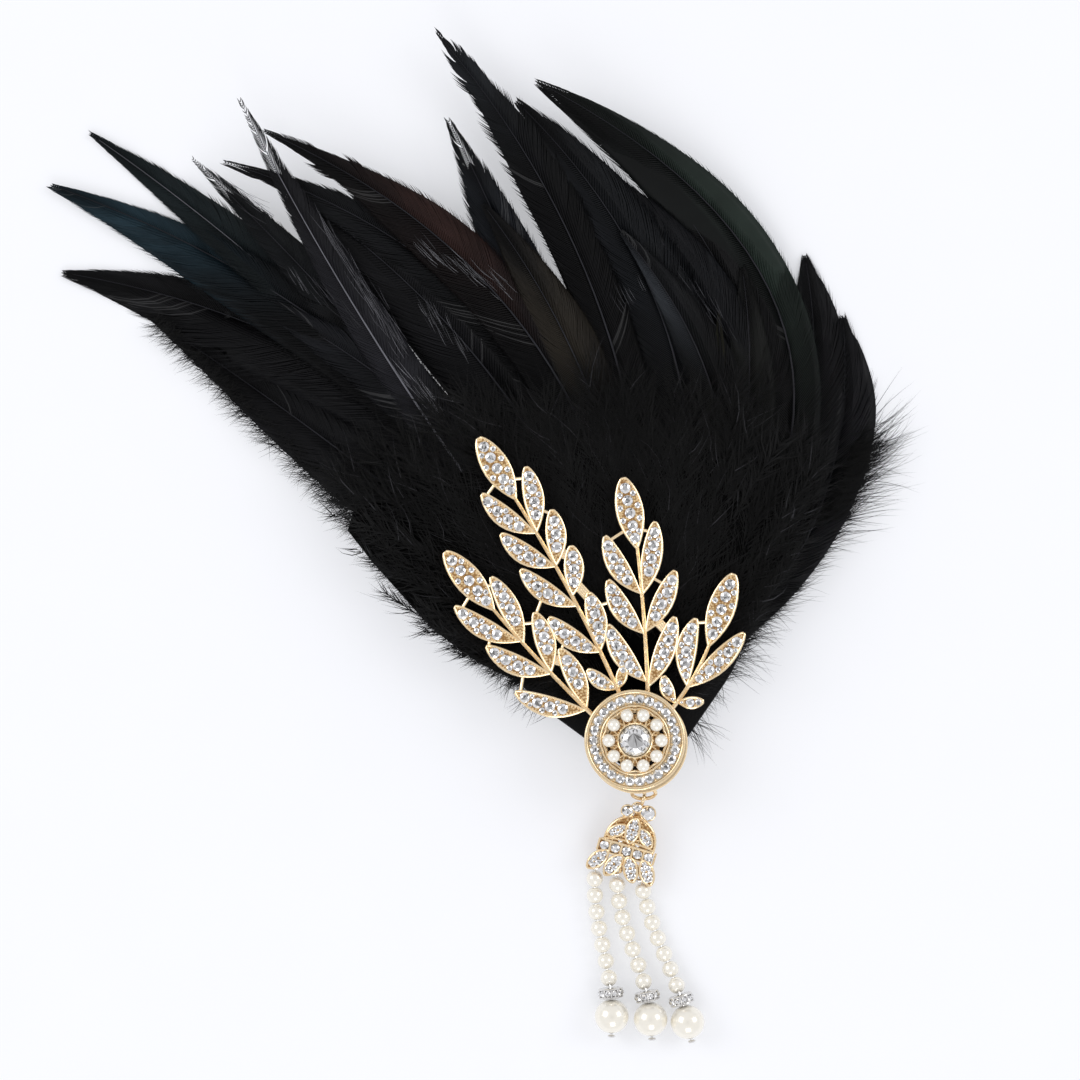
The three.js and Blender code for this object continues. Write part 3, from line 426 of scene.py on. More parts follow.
def shaded_facets(obj, random, dark=0.3):
    """Gives each facet its own brightness, a painted reflection: foil behind a stone lights only some
    facets, and the others show dark.
    """
    count = len(obj.data.polygons)
    bright = 1 - 0.25 * random.random(count)
    # Painted reflection: these facets are drawn dark, as if they mirrored nothing bright.
    unlit_facets = random.random(count) < dark
    bright[unlit_facets] = 0.1 + 0.5 * random.random(int(unlit_facets.sum()))
    values = obj.data.attributes.new("facet", "FLOAT", "FACE")
    values.data.foreach_set("value", bright)
    return obj


# Materials


def add_node(tree, kind, values=None, links=None):
    """Adds a node, sets its fields and sockets, and links its inputs."""
    made = tree.nodes.new(kind)
    for key, value in (values or {}).items():
        if isinstance(key, str) and hasattr(made, key):
            setattr(made, key, value)
        else:
            made.inputs[key].default_value = value
    for key, socket in (links or {}).items():
        tree.links.new(socket, made.inputs[key])
    return made


def new_material(name, **sockets):
    """A material with one Principled shader, whose sockets are named with _ for spaces."""
    material = bpy.data.materials.new(name)
    material.use_nodes = True
    tree = material.node_tree
    shader = tree.nodes["Principled BSDF"]
    for key, value in sockets.items():
        shader.inputs[key.replace("_", " ")].default_value = value
    return material, tree, shader


def object_pattern(tree, kind, scale, **values):
    """A pattern node on Object coordinates, with its scale in repeats per metre."""
    place = add_node(tree, "ShaderNodeTexCoord")
    return add_node(tree, kind, {"Scale": scale, **values}, {"Vector": place.outputs["Object"]})


def cloud(tree, scale, detail, **values):
    """A cloud between 0 and 1, with its scale in repeats per metre."""
    noise = object_pattern(tree, "ShaderNodeTexNoise", scale, Detail=detail, **values)
    return noise.outputs["Fac"]


def mixed(tree, factor, first, second):
    """Two colours mixed by a socket. Each may be a colour or a socket."""
    mix = add_node(tree, "ShaderNodeMix", {"data_type": "RGBA"}, {0: factor})
    for index, colour in ((6, first), (7, second)):
        if isinstance(colour, bpy.types.NodeSocket):
            tree.links.new(colour, mix.inputs[index])
        else:
            mix.inputs[index].default_value = colour
    return mix.outputs[2]


def bumped(tree, shader, height, strength, distance):
    values = {"Strength": strength, "Distance": distance * MM}
    bump = add_node(tree, "ShaderNodeBump", values, {"Height": height})
    tree.links.new(bump.outputs["Normal"], shader.inputs["Normal"])


def coloured(tree, shader, factor, first, second):
    """Gives the shader two colours mixed by a socket."""
    tree.links.new(mixed(tree, factor, first, second), shader.inputs["Base Color"])


def times(colour, *shares):
    """A colour with each of its parts made darker by a share."""
    return tuple(c * k for c, k in zip(colour[:3], shares)) + (1,)


def dyed(name, scale, detail, darkest, lightest, **sockets):
    """Dyed barbs: each has its own tint, made uneven by a cloud."""
    material, tree, shader = new_material(name, IOR=1.5, **sockets)
    tint = add_node(tree, "ShaderNodeAttribute", {"attribute_name": "tint"})
    limits = {"To Min": darkest, "To Max": lightest}
    span = add_node(tree, "ShaderNodeMapRange", limits, {"Value": cloud(tree, scale, detail)})
    inputs = {0: tint.outputs["Color"], "Scale": span.outputs["Result"]}
    shade = add_node(tree, "ShaderNodeVectorMath", {"operation": "SCALE"}, inputs)
    tree.links.new(shade.outputs[0], shader.inputs["Base Color"])
    return material


def dyed_vane(name):
    """Rooster feather dyed black: keratin barbs, so it has a satin gloss; the hints of colour in its tint
    are painted sheen and painted glints.
    """
    return dyed(name, 160, 3.0, 0.55, 1.25, Roughness=0.42, Specular_IOR_Level=0.14)


def dyed_down(name):
    """Marabou down dyed black: loose barbs that trap light, so it is matt and soft."""
    return dyed(name, 90, 2.0, 0.4, 1.5, Roughness=0.6, Specular_IOR_Level=0.24)


def down_core(name, colour):
    """The closed heart of the down, where barbs lie too thick to be told apart."""
    material, tree, shader = new_material(name, Roughness=1.0, IOR=1.5, Specular_IOR_Level=0.05)
    fluff = cloud(tree, 700, 4.0)
    coloured(tree, shader, fluff, times(colour, 0.5, 0.5, 0.5), tuple(colour))
    bumped(tree, shader, fluff, 0.8, 0.5)
    return material


def gilt(name, high, low, grain_size, grain, roughness):
    """Cast zinc alloy plated with pale gold under lacquer, which scatters a little light:
    bright where polished, with a painted shade of dark orange-brown between the grains of its
    cast surface."""
    material, tree, shader = new_material(name, Metallic=0.88, Roughness=roughness)
    pits = object_pattern(tree, "ShaderNodeTexVoronoi", 1 / (grain_size * MM), Randomness=0.8)
    limits = {"From Min": 0.25, "From Max": 0.6, "To Max": grain}
    between = add_node(tree, "ShaderNodeMapRange", limits, {"Value": pits.outputs["Distance"]})
    even = mixed(tree, cloud(tree, 260, 3.0), tuple(high), tuple(low))
    # Painted shade: the gaps between the grains get a dark orange-brown, as much as grain says.
    coloured(tree, shader, between.outputs["Result"], even, times(low, 0.42, 0.3, 0.2))
    bumped(tree, shader, pits.outputs["Distance"], grain, 0.12)
    return material


def foiled_crystal(name, bright, dark_reflection):
    """Cut glass with foil behind it: mirror bright facets, and a painted reflection in each facet's colour,
    bright on some facets and dark on others.
    """
    material, tree, shader = new_material(
        name, Metallic=0.9, Roughness=0.05, Coat_Weight=1.0, Coat_Roughness=0.02
    )
    facet = add_node(tree, "ShaderNodeAttribute", {"attribute_name": "facet"})
    coloured(tree, shader, facet.outputs["Fac"], tuple(dark_reflection), tuple(bright))
    return material


def imitation_pearl(name, colour):
    """Glass bead dipped in pearl essence: ivory, part mirror from its fine plates, and glossy."""
    material, tree, shader = new_material(
        name, Metallic=0.35, Roughness=0.22, IOR=1.5, Coat_Weight=1.0, Coat_Roughness=0.03
    )
    coloured(tree, shader, cloud(tree, 500, 2.0), times(colour, 0.99, 0.97, 0.92), tuple(colour))
    return material


def wool_felt(name):
    """Pressed wool felt dyed black: a matt nap of short fibres."""
    material, tree, shader = new_material(
        name, Roughness=0.95, Specular_IOR_Level=0.2, Sheen_Weight=0.08
    )
    nap = cloud(tree, 2500, 6.0, Roughness=0.7)
    coloured(tree, shader, nap, linear("#030303"), linear("#141416"))
    bumped(tree, shader, nap, 0.7, 0.3)
    return material


def plated(name, colour, roughness):
    """Bright plated metal with a faint polish mark."""
    material, tree, shader = new_material(name, Metallic=1.0, Roughness=roughness)
    dull = times(colour, 0.75, 0.75, 0.75)
    coloured(tree, shader, cloud(tree, 400, 3.0), dull, tuple(colour))
    return material


def material_once(name, maker, *values):
    """A material made the first time that it is asked for."""
    return bpy.data.materials.get(name) or maker(name, *values)


def gilt_polish(settings):
    low = linear("#f9d6a0")
    # Polished metal gets only a faint painted shade between its grains.
    return material_once("Polished gilt", gilt, settings.gilt_colour, low, 0.5, 0.12, 0.18)


def gilt_bed(settings):
    low = linear("#ffe0aa")
    # The beds get the full painted shade between their grains.
    return material_once("Grained gilt", gilt, settings.grain_colour, low, 0.55, 1.0, 0.3)


def crystal(settings):
    return material_once(
        "Foiled crystal", foiled_crystal, settings.stone_colour, settings.dark_reflection_colour
    )


def pearl_material(settings):
    return material_once("Imitation pearl", imitation_pearl, settings.pearl_colour)


def silver_material(settings):
    return material_once("Rhodium plate", plated, tuple(settings.silver_colour), 0.15)


# Feathers


def bowed(start, angle, length, bow, share):
    """Points on a line that starts at a place, runs at an angle and bows to its left."""
    along = pointing(math.radians(angle))
    share = np.asarray(share, float)[..., None]
    return start + along * length * share + left_of(along) * length * bow * 4 * share * (1 - share)


def forward_and_across(points, degrees):
    """How far points lie from the plumes' root, along a direction and to its sides."""
    ahead = pointing(math.radians(degrees))
    beyond = points - PLUME_ROOT
    return beyond @ ahead, np.abs(beyond @ left_of(ahead))


def parting_height(points):
    """The sheet that parts long feathers from down: level over the felt, low at the sides."""
    forward, across = forward_and_across(points, PLUME_ANGLE)
    reach = FELT_WIDTH / 2 + 2.5
    side = np.maximum(0, across - reach) / (FLOOR_REACH - reach)
    sag = TIP_SAG * (np.maximum(0, forward - FELT_LENGTH) / TIP_REACH) ** 2
    return PARTING_LEVEL * np.maximum(0, 1 - side**2 - sag)


def strand_mesh(name, start, bend, end, width, taper, tint):
    """Closed three-sided strands. Each runs on a curve from start to end by way of bend.

    start, bend and end are rows of points in millimetres, width is one value a strand, taper is
    the share of the width at each ring before the point, and tint is one colour a strand."""
    rings = len(taper) + 1
    t = np.linspace(0, 1, rings)[None, :, None]
    p0, p1, p2 = (points[:, None, :] for points in (start, bend, end))
    curve = (1 - t) ** 2 * p0 + 2 * t * (1 - t) * p1 + t**2 * p2
    ahead = 2 * (1 - t) * (p1 - p0) + 2 * t * (p2 - p1)
    ahead /= np.linalg.norm(ahead, axis=2, keepdims=True) + 1e-9
    side = np.cross(ahead, (0.0, 0.0, 1.0))
    side /= np.linalg.norm(side, axis=2, keepdims=True) + 1e-9
    rise = np.cross(side, ahead)
    half = (np.asarray(taper)[None, :] * width[:, None] / 2)[..., None]
    body, across, up = curve[:, :-1], side[:, :-1], rise[:, :-1]
    ring = np.stack((body - across * half, body + across * half, body + up * half * 0.7), axis=2)
    count = len(start)
    per = 3 * (rings - 1) + 1
    corners = np.concatenate((ring.reshape(count, per - 1, 3), curve[:, -1:]), axis=1)
    corners[..., 2] = np.maximum(corners[..., 2], 0.05)
    corners[..., 0] += AXIS.x
    corners[..., 1] += AXIS.y
    loops = [0, 1, 2]
    sizes = [3]
    for k in range(rings - 2):
        low, high = 3 * k, 3 * k + 3
        for a, b in ((0, 1), (1, 2), (2, 0)):
            loops += [low + a, high + a, high + b, low + b]
            sizes.append(4)
    last = 3 * (rings - 2)
    for a, b in ((0, 1), (1, 2), (2, 0)):
        loops += [last + a, per - 1, last + b]
        sizes.append(3)
    shift = (np.arange(count) * per)[:, None]
    all_loops = (np.array(loops)[None, :] + shift).ravel()
    all_sizes = np.tile(sizes, count)
    starts = np.concatenate(((0,), np.cumsum(all_sizes)[:-1]))
    mesh = bpy.data.meshes.new(name)
    mesh.vertices.add(count * per)
    mesh.vertices.foreach_set("co", (corners * MM).astype(np.float32).ravel())
    mesh.loops.add(len(all_loops))
    mesh.loops.foreach_set("vertex_index", all_loops.astype(np.int32))
    mesh.polygons.add(len(all_sizes))
    mesh.polygons.foreach_set("loop_start", starts.astype(np.int32))
    mesh.polygons.foreach_set("loop_total", all_sizes.astype(np.int32))
    mesh.polygons.foreach_set("use_smooth", np.ones(len(all_sizes), bool))
    mesh.update(calc_edges=True)
    obj = bpy.data.objects.new(name, mesh)
    bpy.context.collection.objects.link(obj)
    return tinted(obj, np.repeat(tint, per, axis=0))


def tinted(obj, tint):
    """Gives a mesh one colour, or one a corner, in the attribute that feather materials read."""
    every = np.broadcast_to(np.asarray(tint, np.float32), (len(obj.data.vertices), 4))
    colours = obj.data.color_attributes.new("tint", "FLOAT_COLOR", "POINT")
    colours.data.foreach_set("color", every.ravel())
    return obj


def bundle(name, rows, taper):
    """One mesh of strands, from rows of their roots, bends, tips, heights, widths and tints."""
    root, bend, tip, height, thick, tint = (np.concatenate(part) for part in zip(*rows))
    starts, bends, ends = (
        np.column_stack((plan, height[:, k])) for k, plan in enumerate((root, bend, tip))
    )
    return strand_mesh(name, starts, bends, ends, thick, taper, tint)


def rooted(row, random, stray):
    """Places strewn along the line from x, y to x2, y2 of a table's row."""
    share = random.random((row.count, 1))
    root = np.array((row.x, row.y)) * (1 - share) + np.array((row.x2, row.y2)) * share
    return root + random.normal(0, stray, (row.count, 2))


def smooth_sheet(name, corners, lines, points):
    """A closed sheet: an upper and a lower grid of lines of points, and the four sides."""
    under = lines * points
    faces = []
    for j in range(lines - 1):
        for i in range(points - 1):
            a = j * points + i
            b = a + under
            faces.append((a, a + points, a + points + 1, a + 1))
            faces.append((b, b + 1, b + points + 1, b + points))
    for i in range(points - 1):
        for j, step in ((0, 1), (lines - 1, -1)):
            a = j * points + i
            faces.append((a, a + 1, a + 1 + under, a + under)[::step])
    for j in range(lines - 1):
        for i, step in ((0, -1), (points - 1, 1)):
            a = j * points + i
            faces.append((a, a + points, a + points + under, a + under)[::step])
    obj = edit(mesh_object(name, [placed(*corner) for corner in corners], faces))
    return smooth(facing_out(obj))


# Long feathers. angle is in degrees from +X, length a share of the longest, left and right the
# widths of the vane's sides in shares of the widest vane, hold the share of the length where it
# starts to narrow, sweep the bow of the shaft to its left, layer its place in the pile from the
# bottom, fray how loose the barbs are at the left and the right edge, notch how deep the steps at
# the tip are, solid the share of the length where the barbs part, glow the colour of a painted
# sheen that stands in for the feather's iridescent reflection, middle, spread and side the place
# of it, with side 1 for the left half and -1 for the right, base how wide the vane is at the
# quill, as a share of its full width, and quill the shaft's colour.
Feather = namedtuple(
    "Feather",
    "angle length left right hold sweep layer fray notch solid glow middle spread side base quill",
    defaults=(0.35, "#27272b"),
)
FEATHERS = (
    Feather(143.6, 0.91, 0.6, 0.4, 0.7, -0.13, 1, (1.5, 0.8), 0, 1, "#131315", 0.6, 0.3, 0),
    Feather(142.0, 0.78, 0.55, 0.4, 0.5, -0.02, 0, (1.3, 0.8), 0.1, 1, "#111113", 0.6, 0.3, 0),
    Feather(138.9, 0.99, 0.54, 0.3, 0.65, -0.1, 4, (0.9, 0.4), 0, 1, "#1e2e36", 0.86, 0.12, 0),
    Feather(
        134.2, 1.0, 0.3, 0.35, 0.66, -0.05, 2, (0.3, 1.1), 0, 1, "#161d1f", 0.84, 0.2, 0, 0.35, "#5c5c61"
    ),
    Feather(129.6, 0.89, 0.3, 0.33, 0.6, -0.03, 3, (0.8, 0.9), 0.3, 0.93, "#121416", 0.8, 0.2, 0),
    Feather(127.8, 0.86, 0.4, 0.33, 0.55, -0.175, 1, (0.8, 0.6), 0.2, 0.98, "#101113", 0.8, 0.2, 0),
    Feather(
        123.7, 0.91, 0.25, 0.35, 0.5, 0.03, 6, (0.6, 0.9), 0, 0.86, "#222226", 0.6, 0.25, 0, 0.35, "#6c6c72"
    ),
    Feather(123.5, 0.86, 0.4, 0.38, 0.65, -0.16, 5, (0.5, 0.4), 0.5, 1, "#2f1f1c", 0.7, 0.12, -1),
    Feather(124.5, 0.78, 0.6, 0.6, 0.6, -0.1, 0, (0.6, 0.6), 0, 1, "#111113", 0.7, 0.2, 0),
    Feather(115.0, 0.71, 0.45, 0.45, 0.6, -0.06, 0, (0.6, 0.6), 0, 1, "#101012", 0.7, 0.2, 0),
    Feather(108.3, 0.77, 0.47, 0.4, 0.6, -0.04, 3, (0.8, 0.9), 0.1, 0.92, "#101318", 0.7, 0.2, 0),
    Feather(107.0, 0.88, 0.32, 0.35, 0.85, -0.11, 4, (0.7, 0.7), 1, 1, "#1b1d20", 0.93, 0.12, 0),
    Feather(101.7, 0.77, 0.45, 0.55, 0.65, -0.17, 3, (0.6, 0.6), 0.1, 1, "#121417", 0.7, 0.2, 0),
    Feather(98.0, 0.7, 0.45, 0.5, 0.6, -0.25, 1, (0.5, 0.5), 0, 1, "#111215", 0.7, 0.2, 0),
    Feather(99.6, 0.79, 0.62, 0.36, 0.68, -0.33, 5, (0.7, 0.3), 0, 1, "#1f2823", 0.68, 0.2, -1),
    Feather(88.0, 0.66, 0.5, 0.5, 0.6, -0.22, 0, (0.5, 0.5), 0, 1, "#111112", 0.7, 0.2, 0),
    Feather(76.6, 0.56, 0.4, 0.4, 0.6, -0.1, 3, (0.7, 0.7), 0, 1, "#161715", 0.7, 0.2, 0),
    Feather(62.0, 0.55, 0.4, 0.46, 0.78, -0.165, 2, (0.4, 2), 0, 1, "#151518", 0.7, 0.3, 0, 0.02),
    Feather(69.5, 0.6, 0.4, 0.45, 0.78, -0.15, 1, (0.4, 1), 0, 1, "#131315", 0.7, 0.3, 0, 0.05),
    Feather(107.6, 0.655, 0.4, 0.4, 0.6, -0.09, 6, (0.4, 0.4), 0, 1, "#28241e", 0.7, 0.13, 0),
    Feather(78.5, 0.5, 0.16, 0.16, 0.6, -0.06, 6, (0.4, 0.4), 0, 1, "#26251a", 0.84, 0.16, 0),
    Feather(92.4, 0.59, 0.3, 0.45, 0.6, -0.2, 6, (0.3, 0.5), 0, 1, "#2e3135", 0.86, 0.12, 1),
    Feather(134.5, 0.72, 0.35, 0.35, 0.6, -0.09, 5, (0.8, 0.8), 0, 1, "#121316", 0.8, 0.2, 0),
    Feather(117.5, 0.72, 0.4, 0.4, 0.6, -0.17, 2, (0.9, 0.9), 0, 1, "#131417", 0.8, 0.2, 0),
)

# Barbs parted from their feather. Their pale grey colour is a painted highlight, where they would
# catch the light. x, y and x2, y2 are the ends of the line that they start on, in millimetres from
# the medallion's axis, aim their direction in degrees and reach their length in millimetres.
Parted = namedtuple("Parted", "x y x2 y2 aim reach count colour")
PARTED = (
    Parted(-52, 88, -70, 116, 119, 11, 60, "#77777c"),
    Parted(-43, 74, -53, 84, 129, 8, 22, "#9b9ba0"),
    Parted(-27, 103, -48, 113, 136, 6, 54, "#88888c"),
    Parted(-37, 86, -49, 100, 117, 7, 30, "#6c6c70"),
    Parted(-76, 103, -79, 107, 118, 5, 8, "#8b8b90"),
    Parted(-82, 121, -92, 128, 146, 9, 16, "#6c6c70"),
    Parted(-60, 94, -74, 104, 128, 9, 18, "#5a5a5e"),
    Parted(-3, 99, 4, 104, 118, 7, 12, "#56565a"),
    Parted(14, 104, 24, 92, 122, 8, 16, "#4e4e52"),
)
PARTED_DEPTH = 1.5
PARTED_LIFT = 1.85
LAYER_STEP = 0.42
VANE_START = 0.09
SHAFT_WIRE = 0.5
WEB_EDGE = 0.88
WEB_POINT = 0.05
WEB_ACROSS = 9
WEB_ALONG = 36


def vane_half(feather, settings, share, left):
    """The width of one side of the vane, in millimetres, at a share of the feather's length."""
    narrow = np.clip((share - feather.hold) / (1 - feather.hold), 0, 1)
    side = feather.left if left > 0 else feather.right
    full = settings.feather_width / MM * side
    grown = feather.base + (1 - feather.base) * share / (0.73 - feather.base)
    return full * np.minimum(grown, 1) * np.cos(0.48 * math.pi * narrow)


def shaft_point(feather, settings, share):
    length = settings.feather_length / MM * feather.length
    return bowed(PLUME_ROOT, feather.angle, length, feather.sweep, share)


def across_shaft(feather, settings, share):
    """Directions along the shaft and to its left."""
    step = 1e-3
    ahead = shaft_point(feather, settings, share + step) - shaft_point(feather, settings, share)
    ahead /= np.linalg.norm(ahead, axis=-1, keepdims=True)
    return ahead, left_of(ahead)


def shaft_level(feather, plan):
    lie = parting_height(plan) - (LAYER_GAP + FEATHER_THICKNESS) / 2
    return np.maximum(np.maximum(lie, 1.2) + (feather.layer - 2.5) * LAYER_STEP, 0.9)


def vane_fall(settings, half):
    return settings.camber / MM * (half / (settings.feather_width / MM / 2)) ** 1.5


def vane_tint(feather, settings, share, left):
    """The dye with a painted sheen over it, which stands in for iridescent reflection."""
    # Painted sheen: how strongly the sheen's colour is laid over the dye along the vane.
    glow = np.exp(-(((share - feather.middle) / feather.spread) ** 2))
    if feather.side and feather.side != left:
        glow = glow * 0.15
    dye = np.array(settings.feather_colour)
    return dye + (np.array(linear(feather.glow)) - dye) * glow[:, None]


def clumped(random, count, largest):
    """Which clump each barb belongs to, with clumps of uneven size."""
    sizes = random.integers(5, largest, count)
    return np.searchsorted(np.cumsum(sizes), np.arange(count))


def barbs(feather, settings, random, name):
    """The barbs of one feather on both sides of its shaft."""
    length = settings.feather_length / MM * feather.length
    count = int(length * (1 - VANE_START) / (settings.barb_spacing / MM))
    rows = []
    for left, fray in zip((1, -1), feather.fray):
        share = np.linspace(VANE_START, 0.995, count)
        clump = clumped(random, count, int(26 - 14 * feather.notch))
        clumps = clump.max() + 1
        near_tip = np.clip((share - 0.72) / 0.16, 0, 1)
        slope = np.radians(40 - 18 * share**2 + 16 * feather.notch * near_tip)
        half = vane_half(feather, settings, share, left)
        reach = np.minimum(share + half / np.tan(slope) / length, 1.0)
        half = vane_half(feather, settings, reach, left)
        cut = 1 - feather.notch * near_tip * random.random(clumps)[clump] * 0.8
        loose = 1 + random.normal(0, 0.04, clumps)[clump] * fray
        ragged = 1 + random.normal(0, 0.04, count) * fray
        side = half * cut * loose * ragged
        root = shaft_point(feather, settings, share)
        ahead, across = across_shaft(feather, settings, reach)
        tip = shaft_point(feather, settings, reach) + across * left * side[:, None]
        drift = random.normal(0, 0.5, clumps)[clump] * fray + random.normal(0, 0.2, count)
        tip += ahead * (drift + 0.5 * fray * random.random(count))[:, None]
        mean = np.stack([np.bincount(clump, tip[:, k], clumps) for k in (0, 1)], axis=1)
        mean /= np.bincount(clump, minlength=clumps)[:, None]
        pull = (0.04 + 0.1 * fray * random.random(clumps))[clump][:, None]
        tip = tip * (1 - pull) + mean[clump] * pull
        tangent, outward = across_shaft(feather, settings, share)
        run = np.linalg.norm(tip - root, axis=1, keepdims=True)
        bend = root + (tangent * 0.62 + outward * left * 0.62) * run * 0.45
        lie = shaft_level(feather, root)
        fall = vane_fall(settings, side)
        lift = random.normal(0, 0.16, clumps)[clump] + random.normal(0, 0.05, count)
        height = np.stack((lie, lie + 0.12 * fall, lie - fall + lift), axis=1)
        tint = vane_tint(feather, settings, share, left)
        tint[:, :3] *= (0.75 + 0.4 * random.random(clumps)[clump] + 0.2 * random.random(count))[
            :, None
        ]
        # Painted glint: a few barbs in some clumps are drawn paler, as if they caught the light.
        pale = (random.random(clumps) < 0.08)[clump] & (random.random(count) < 0.3)
        tint[pale, :3] += 0.03
        parted = np.clip((share - feather.solid) / (1.05 - feather.solid), 0, 1)
        thick = settings.barb_width / MM * (1 - 0.35 * parted) * np.clip(half / 3, 0.6, 1)
        kept = random.random(count) > 0.4 * parted
        rows.append([part[kept] for part in (root, bend, tip, height, thick, tint)])
    return bundle(name, rows, (1, 1, 0.92, 0.62))


def web(feather, settings, name):
    """The closed part of the vane under the barbs, where they hook into each other."""
    share = np.linspace(VANE_START, feather.solid, WEB_ALONG)
    plan = shaft_point(feather, settings, share)
    outward = across_shaft(feather, settings, share)[1]
    lie = shaft_level(feather, plan)
    corners = []
    tints = []
    inner = WEB_EDGE - 0.6 * feather.notch * np.clip((share - 0.75) / 0.2, 0, 1)
    inner = inner * np.clip((feather.solid - share) / WEB_POINT, 0.03, 1) ** 0.6
    for low in (0.12, 0.3):
        for place in np.linspace(-1, 1, WEB_ACROSS):
            left = 1 if place > 0 else -1
            half = vane_half(feather, settings, share, left)
            spot = plan + outward * (half * place * inner)[:, None]
            level = lie - vane_fall(settings, half) * place**2 - low
            corners.append(np.column_stack((spot, np.maximum(level, 0.3 - low))))
            tints.append(vane_tint(feather, settings, share, left))
    sheet = smooth_sheet(name, np.concatenate(corners), WEB_ACROSS, WEB_ALONG)
    return tinted(sheet, np.concatenate(tints))


def shaft(feather, settings, name):
    """The feather's quill and shaft, thick at the pad and fine at the tip."""
    share = np.linspace(0.0, 0.985, 30)
    plan = shaft_point(feather, settings, share)
    lie = shaft_level(feather, plan)
    path = [placed(x, y, z + 0.12) for (x, y), z in zip(plan, lie)]
    obj = wire(name, [path], SHAFT_WIRE, 6, taper=lambda share: 1 - 0.88 * share**0.8)
    return tinted(obj, linear(feather.quill))


def parted_barbs(random, name):
    """Fine barbs that have parted from their neighbours and lie on the feathers, drawn pale grey as a
    painted highlight.
    """
    rows = []
    for row in PARTED:
        count = row.count
        root = rooted(row, random, 0.9)
        out = pointing(np.radians(row.aim + random.normal(0, 4, count)))
        reach = row.reach * random.uniform(0.5, 1.1, count)
        tip = root + out * reach[:, None]
        bend = (root + tip) / 2 + left_of(out) * (random.normal(0.04, 0.03, count) * reach)[:, None]
        top = [np.maximum(parting_height(p) - PARTED_DEPTH, 1.2) for p in (root, bend, tip)]
        height = np.stack(top, axis=1) + PARTED_LIFT + random.normal(0, 0.1, (count, 1))
        # Painted highlight: each strand gets its row's pale grey, darkened at random.
        shade = np.tile(linear(row.colour), (count, 1))
        shade[:, :3] *= random.uniform(0.25, 1.1, (count, 1))
        rows.append((root, bend, tip, height, random.uniform(0.07, 0.13, count), shade))
    return bundle(name, rows, (0.4, 0.9, 0.8, 0.4))


class HAIRCLIP_OT_long_feathers(bpy.types.Operator):
    """Makes the long feathers, each with its shaft and its barbs"""

    bl_idname = "hairclip.long_feathers"
    bl_label = "Long feathers"

    def execute(self, context):
        settings = context.scene.hairclip_plume
        material = material_once("Dyed rooster feather", dyed_vane)
        for index, feather in enumerate(FEATHERS):
            random = np.random.default_rng(100 + index)
            name = f"long_feather_{index + 1:02d}"
            parts = [
                barbs(feather, settings, random, name),
                web(feather, settings, name + "_web"),
                shaft(feather, settings, name + "_shaft"),
            ]
            piece = give(joined(name, parts), material)
            finished(piece, ["long_feathers"])
        loose = parted_barbs(np.random.default_rng(90), "parted_barbs")
        finished(give(loose, material), ["long_feathers"])
        return {"FINISHED"}


# Down. angle is in degrees from +X and length the share of the longest plume.
DownReach = namedtuple("DownReach", "angle length")
DOWN_REACH = (
    DownReach(12, 0.16),
    DownReach(18, 0.19),
    DownReach(28, 0.25),
    DownReach(35, 0.33),
    DownReach(40, 0.48),
    DownReach(44, 0.64),
    DownReach(48, 0.82),
    DownReach(53, 0.9),
    DownReach(63, 0.9),
    DownReach(74, 0.86),
    DownReach(86, 0.84),
    DownReach(98, 0.85),
    DownReach(110, 0.88),
    DownReach(121, 0.92),
    DownReach(131, 0.97),
    DownReach(140, 1.02),
    DownReach(148, 1.0),
    DownReach(150, 0.96),
    DownReach(155, 0.77),
    DownReach(160, 0.64),
    DownReach(164, 0.54),
    DownReach(168, 0.44),
    DownReach(172, 0.32),
    DownReach(180, 0.15),
)
ORNAMENT_ANGLE = 106
ORNAMENT_REACH = 66
ORNAMENT_HALF_WIDTH = 30
CORE_LINES = 19
CORE_POINTS = 60
DOWN_CEILING = 12.5
DOWN_LOFT = 4.5

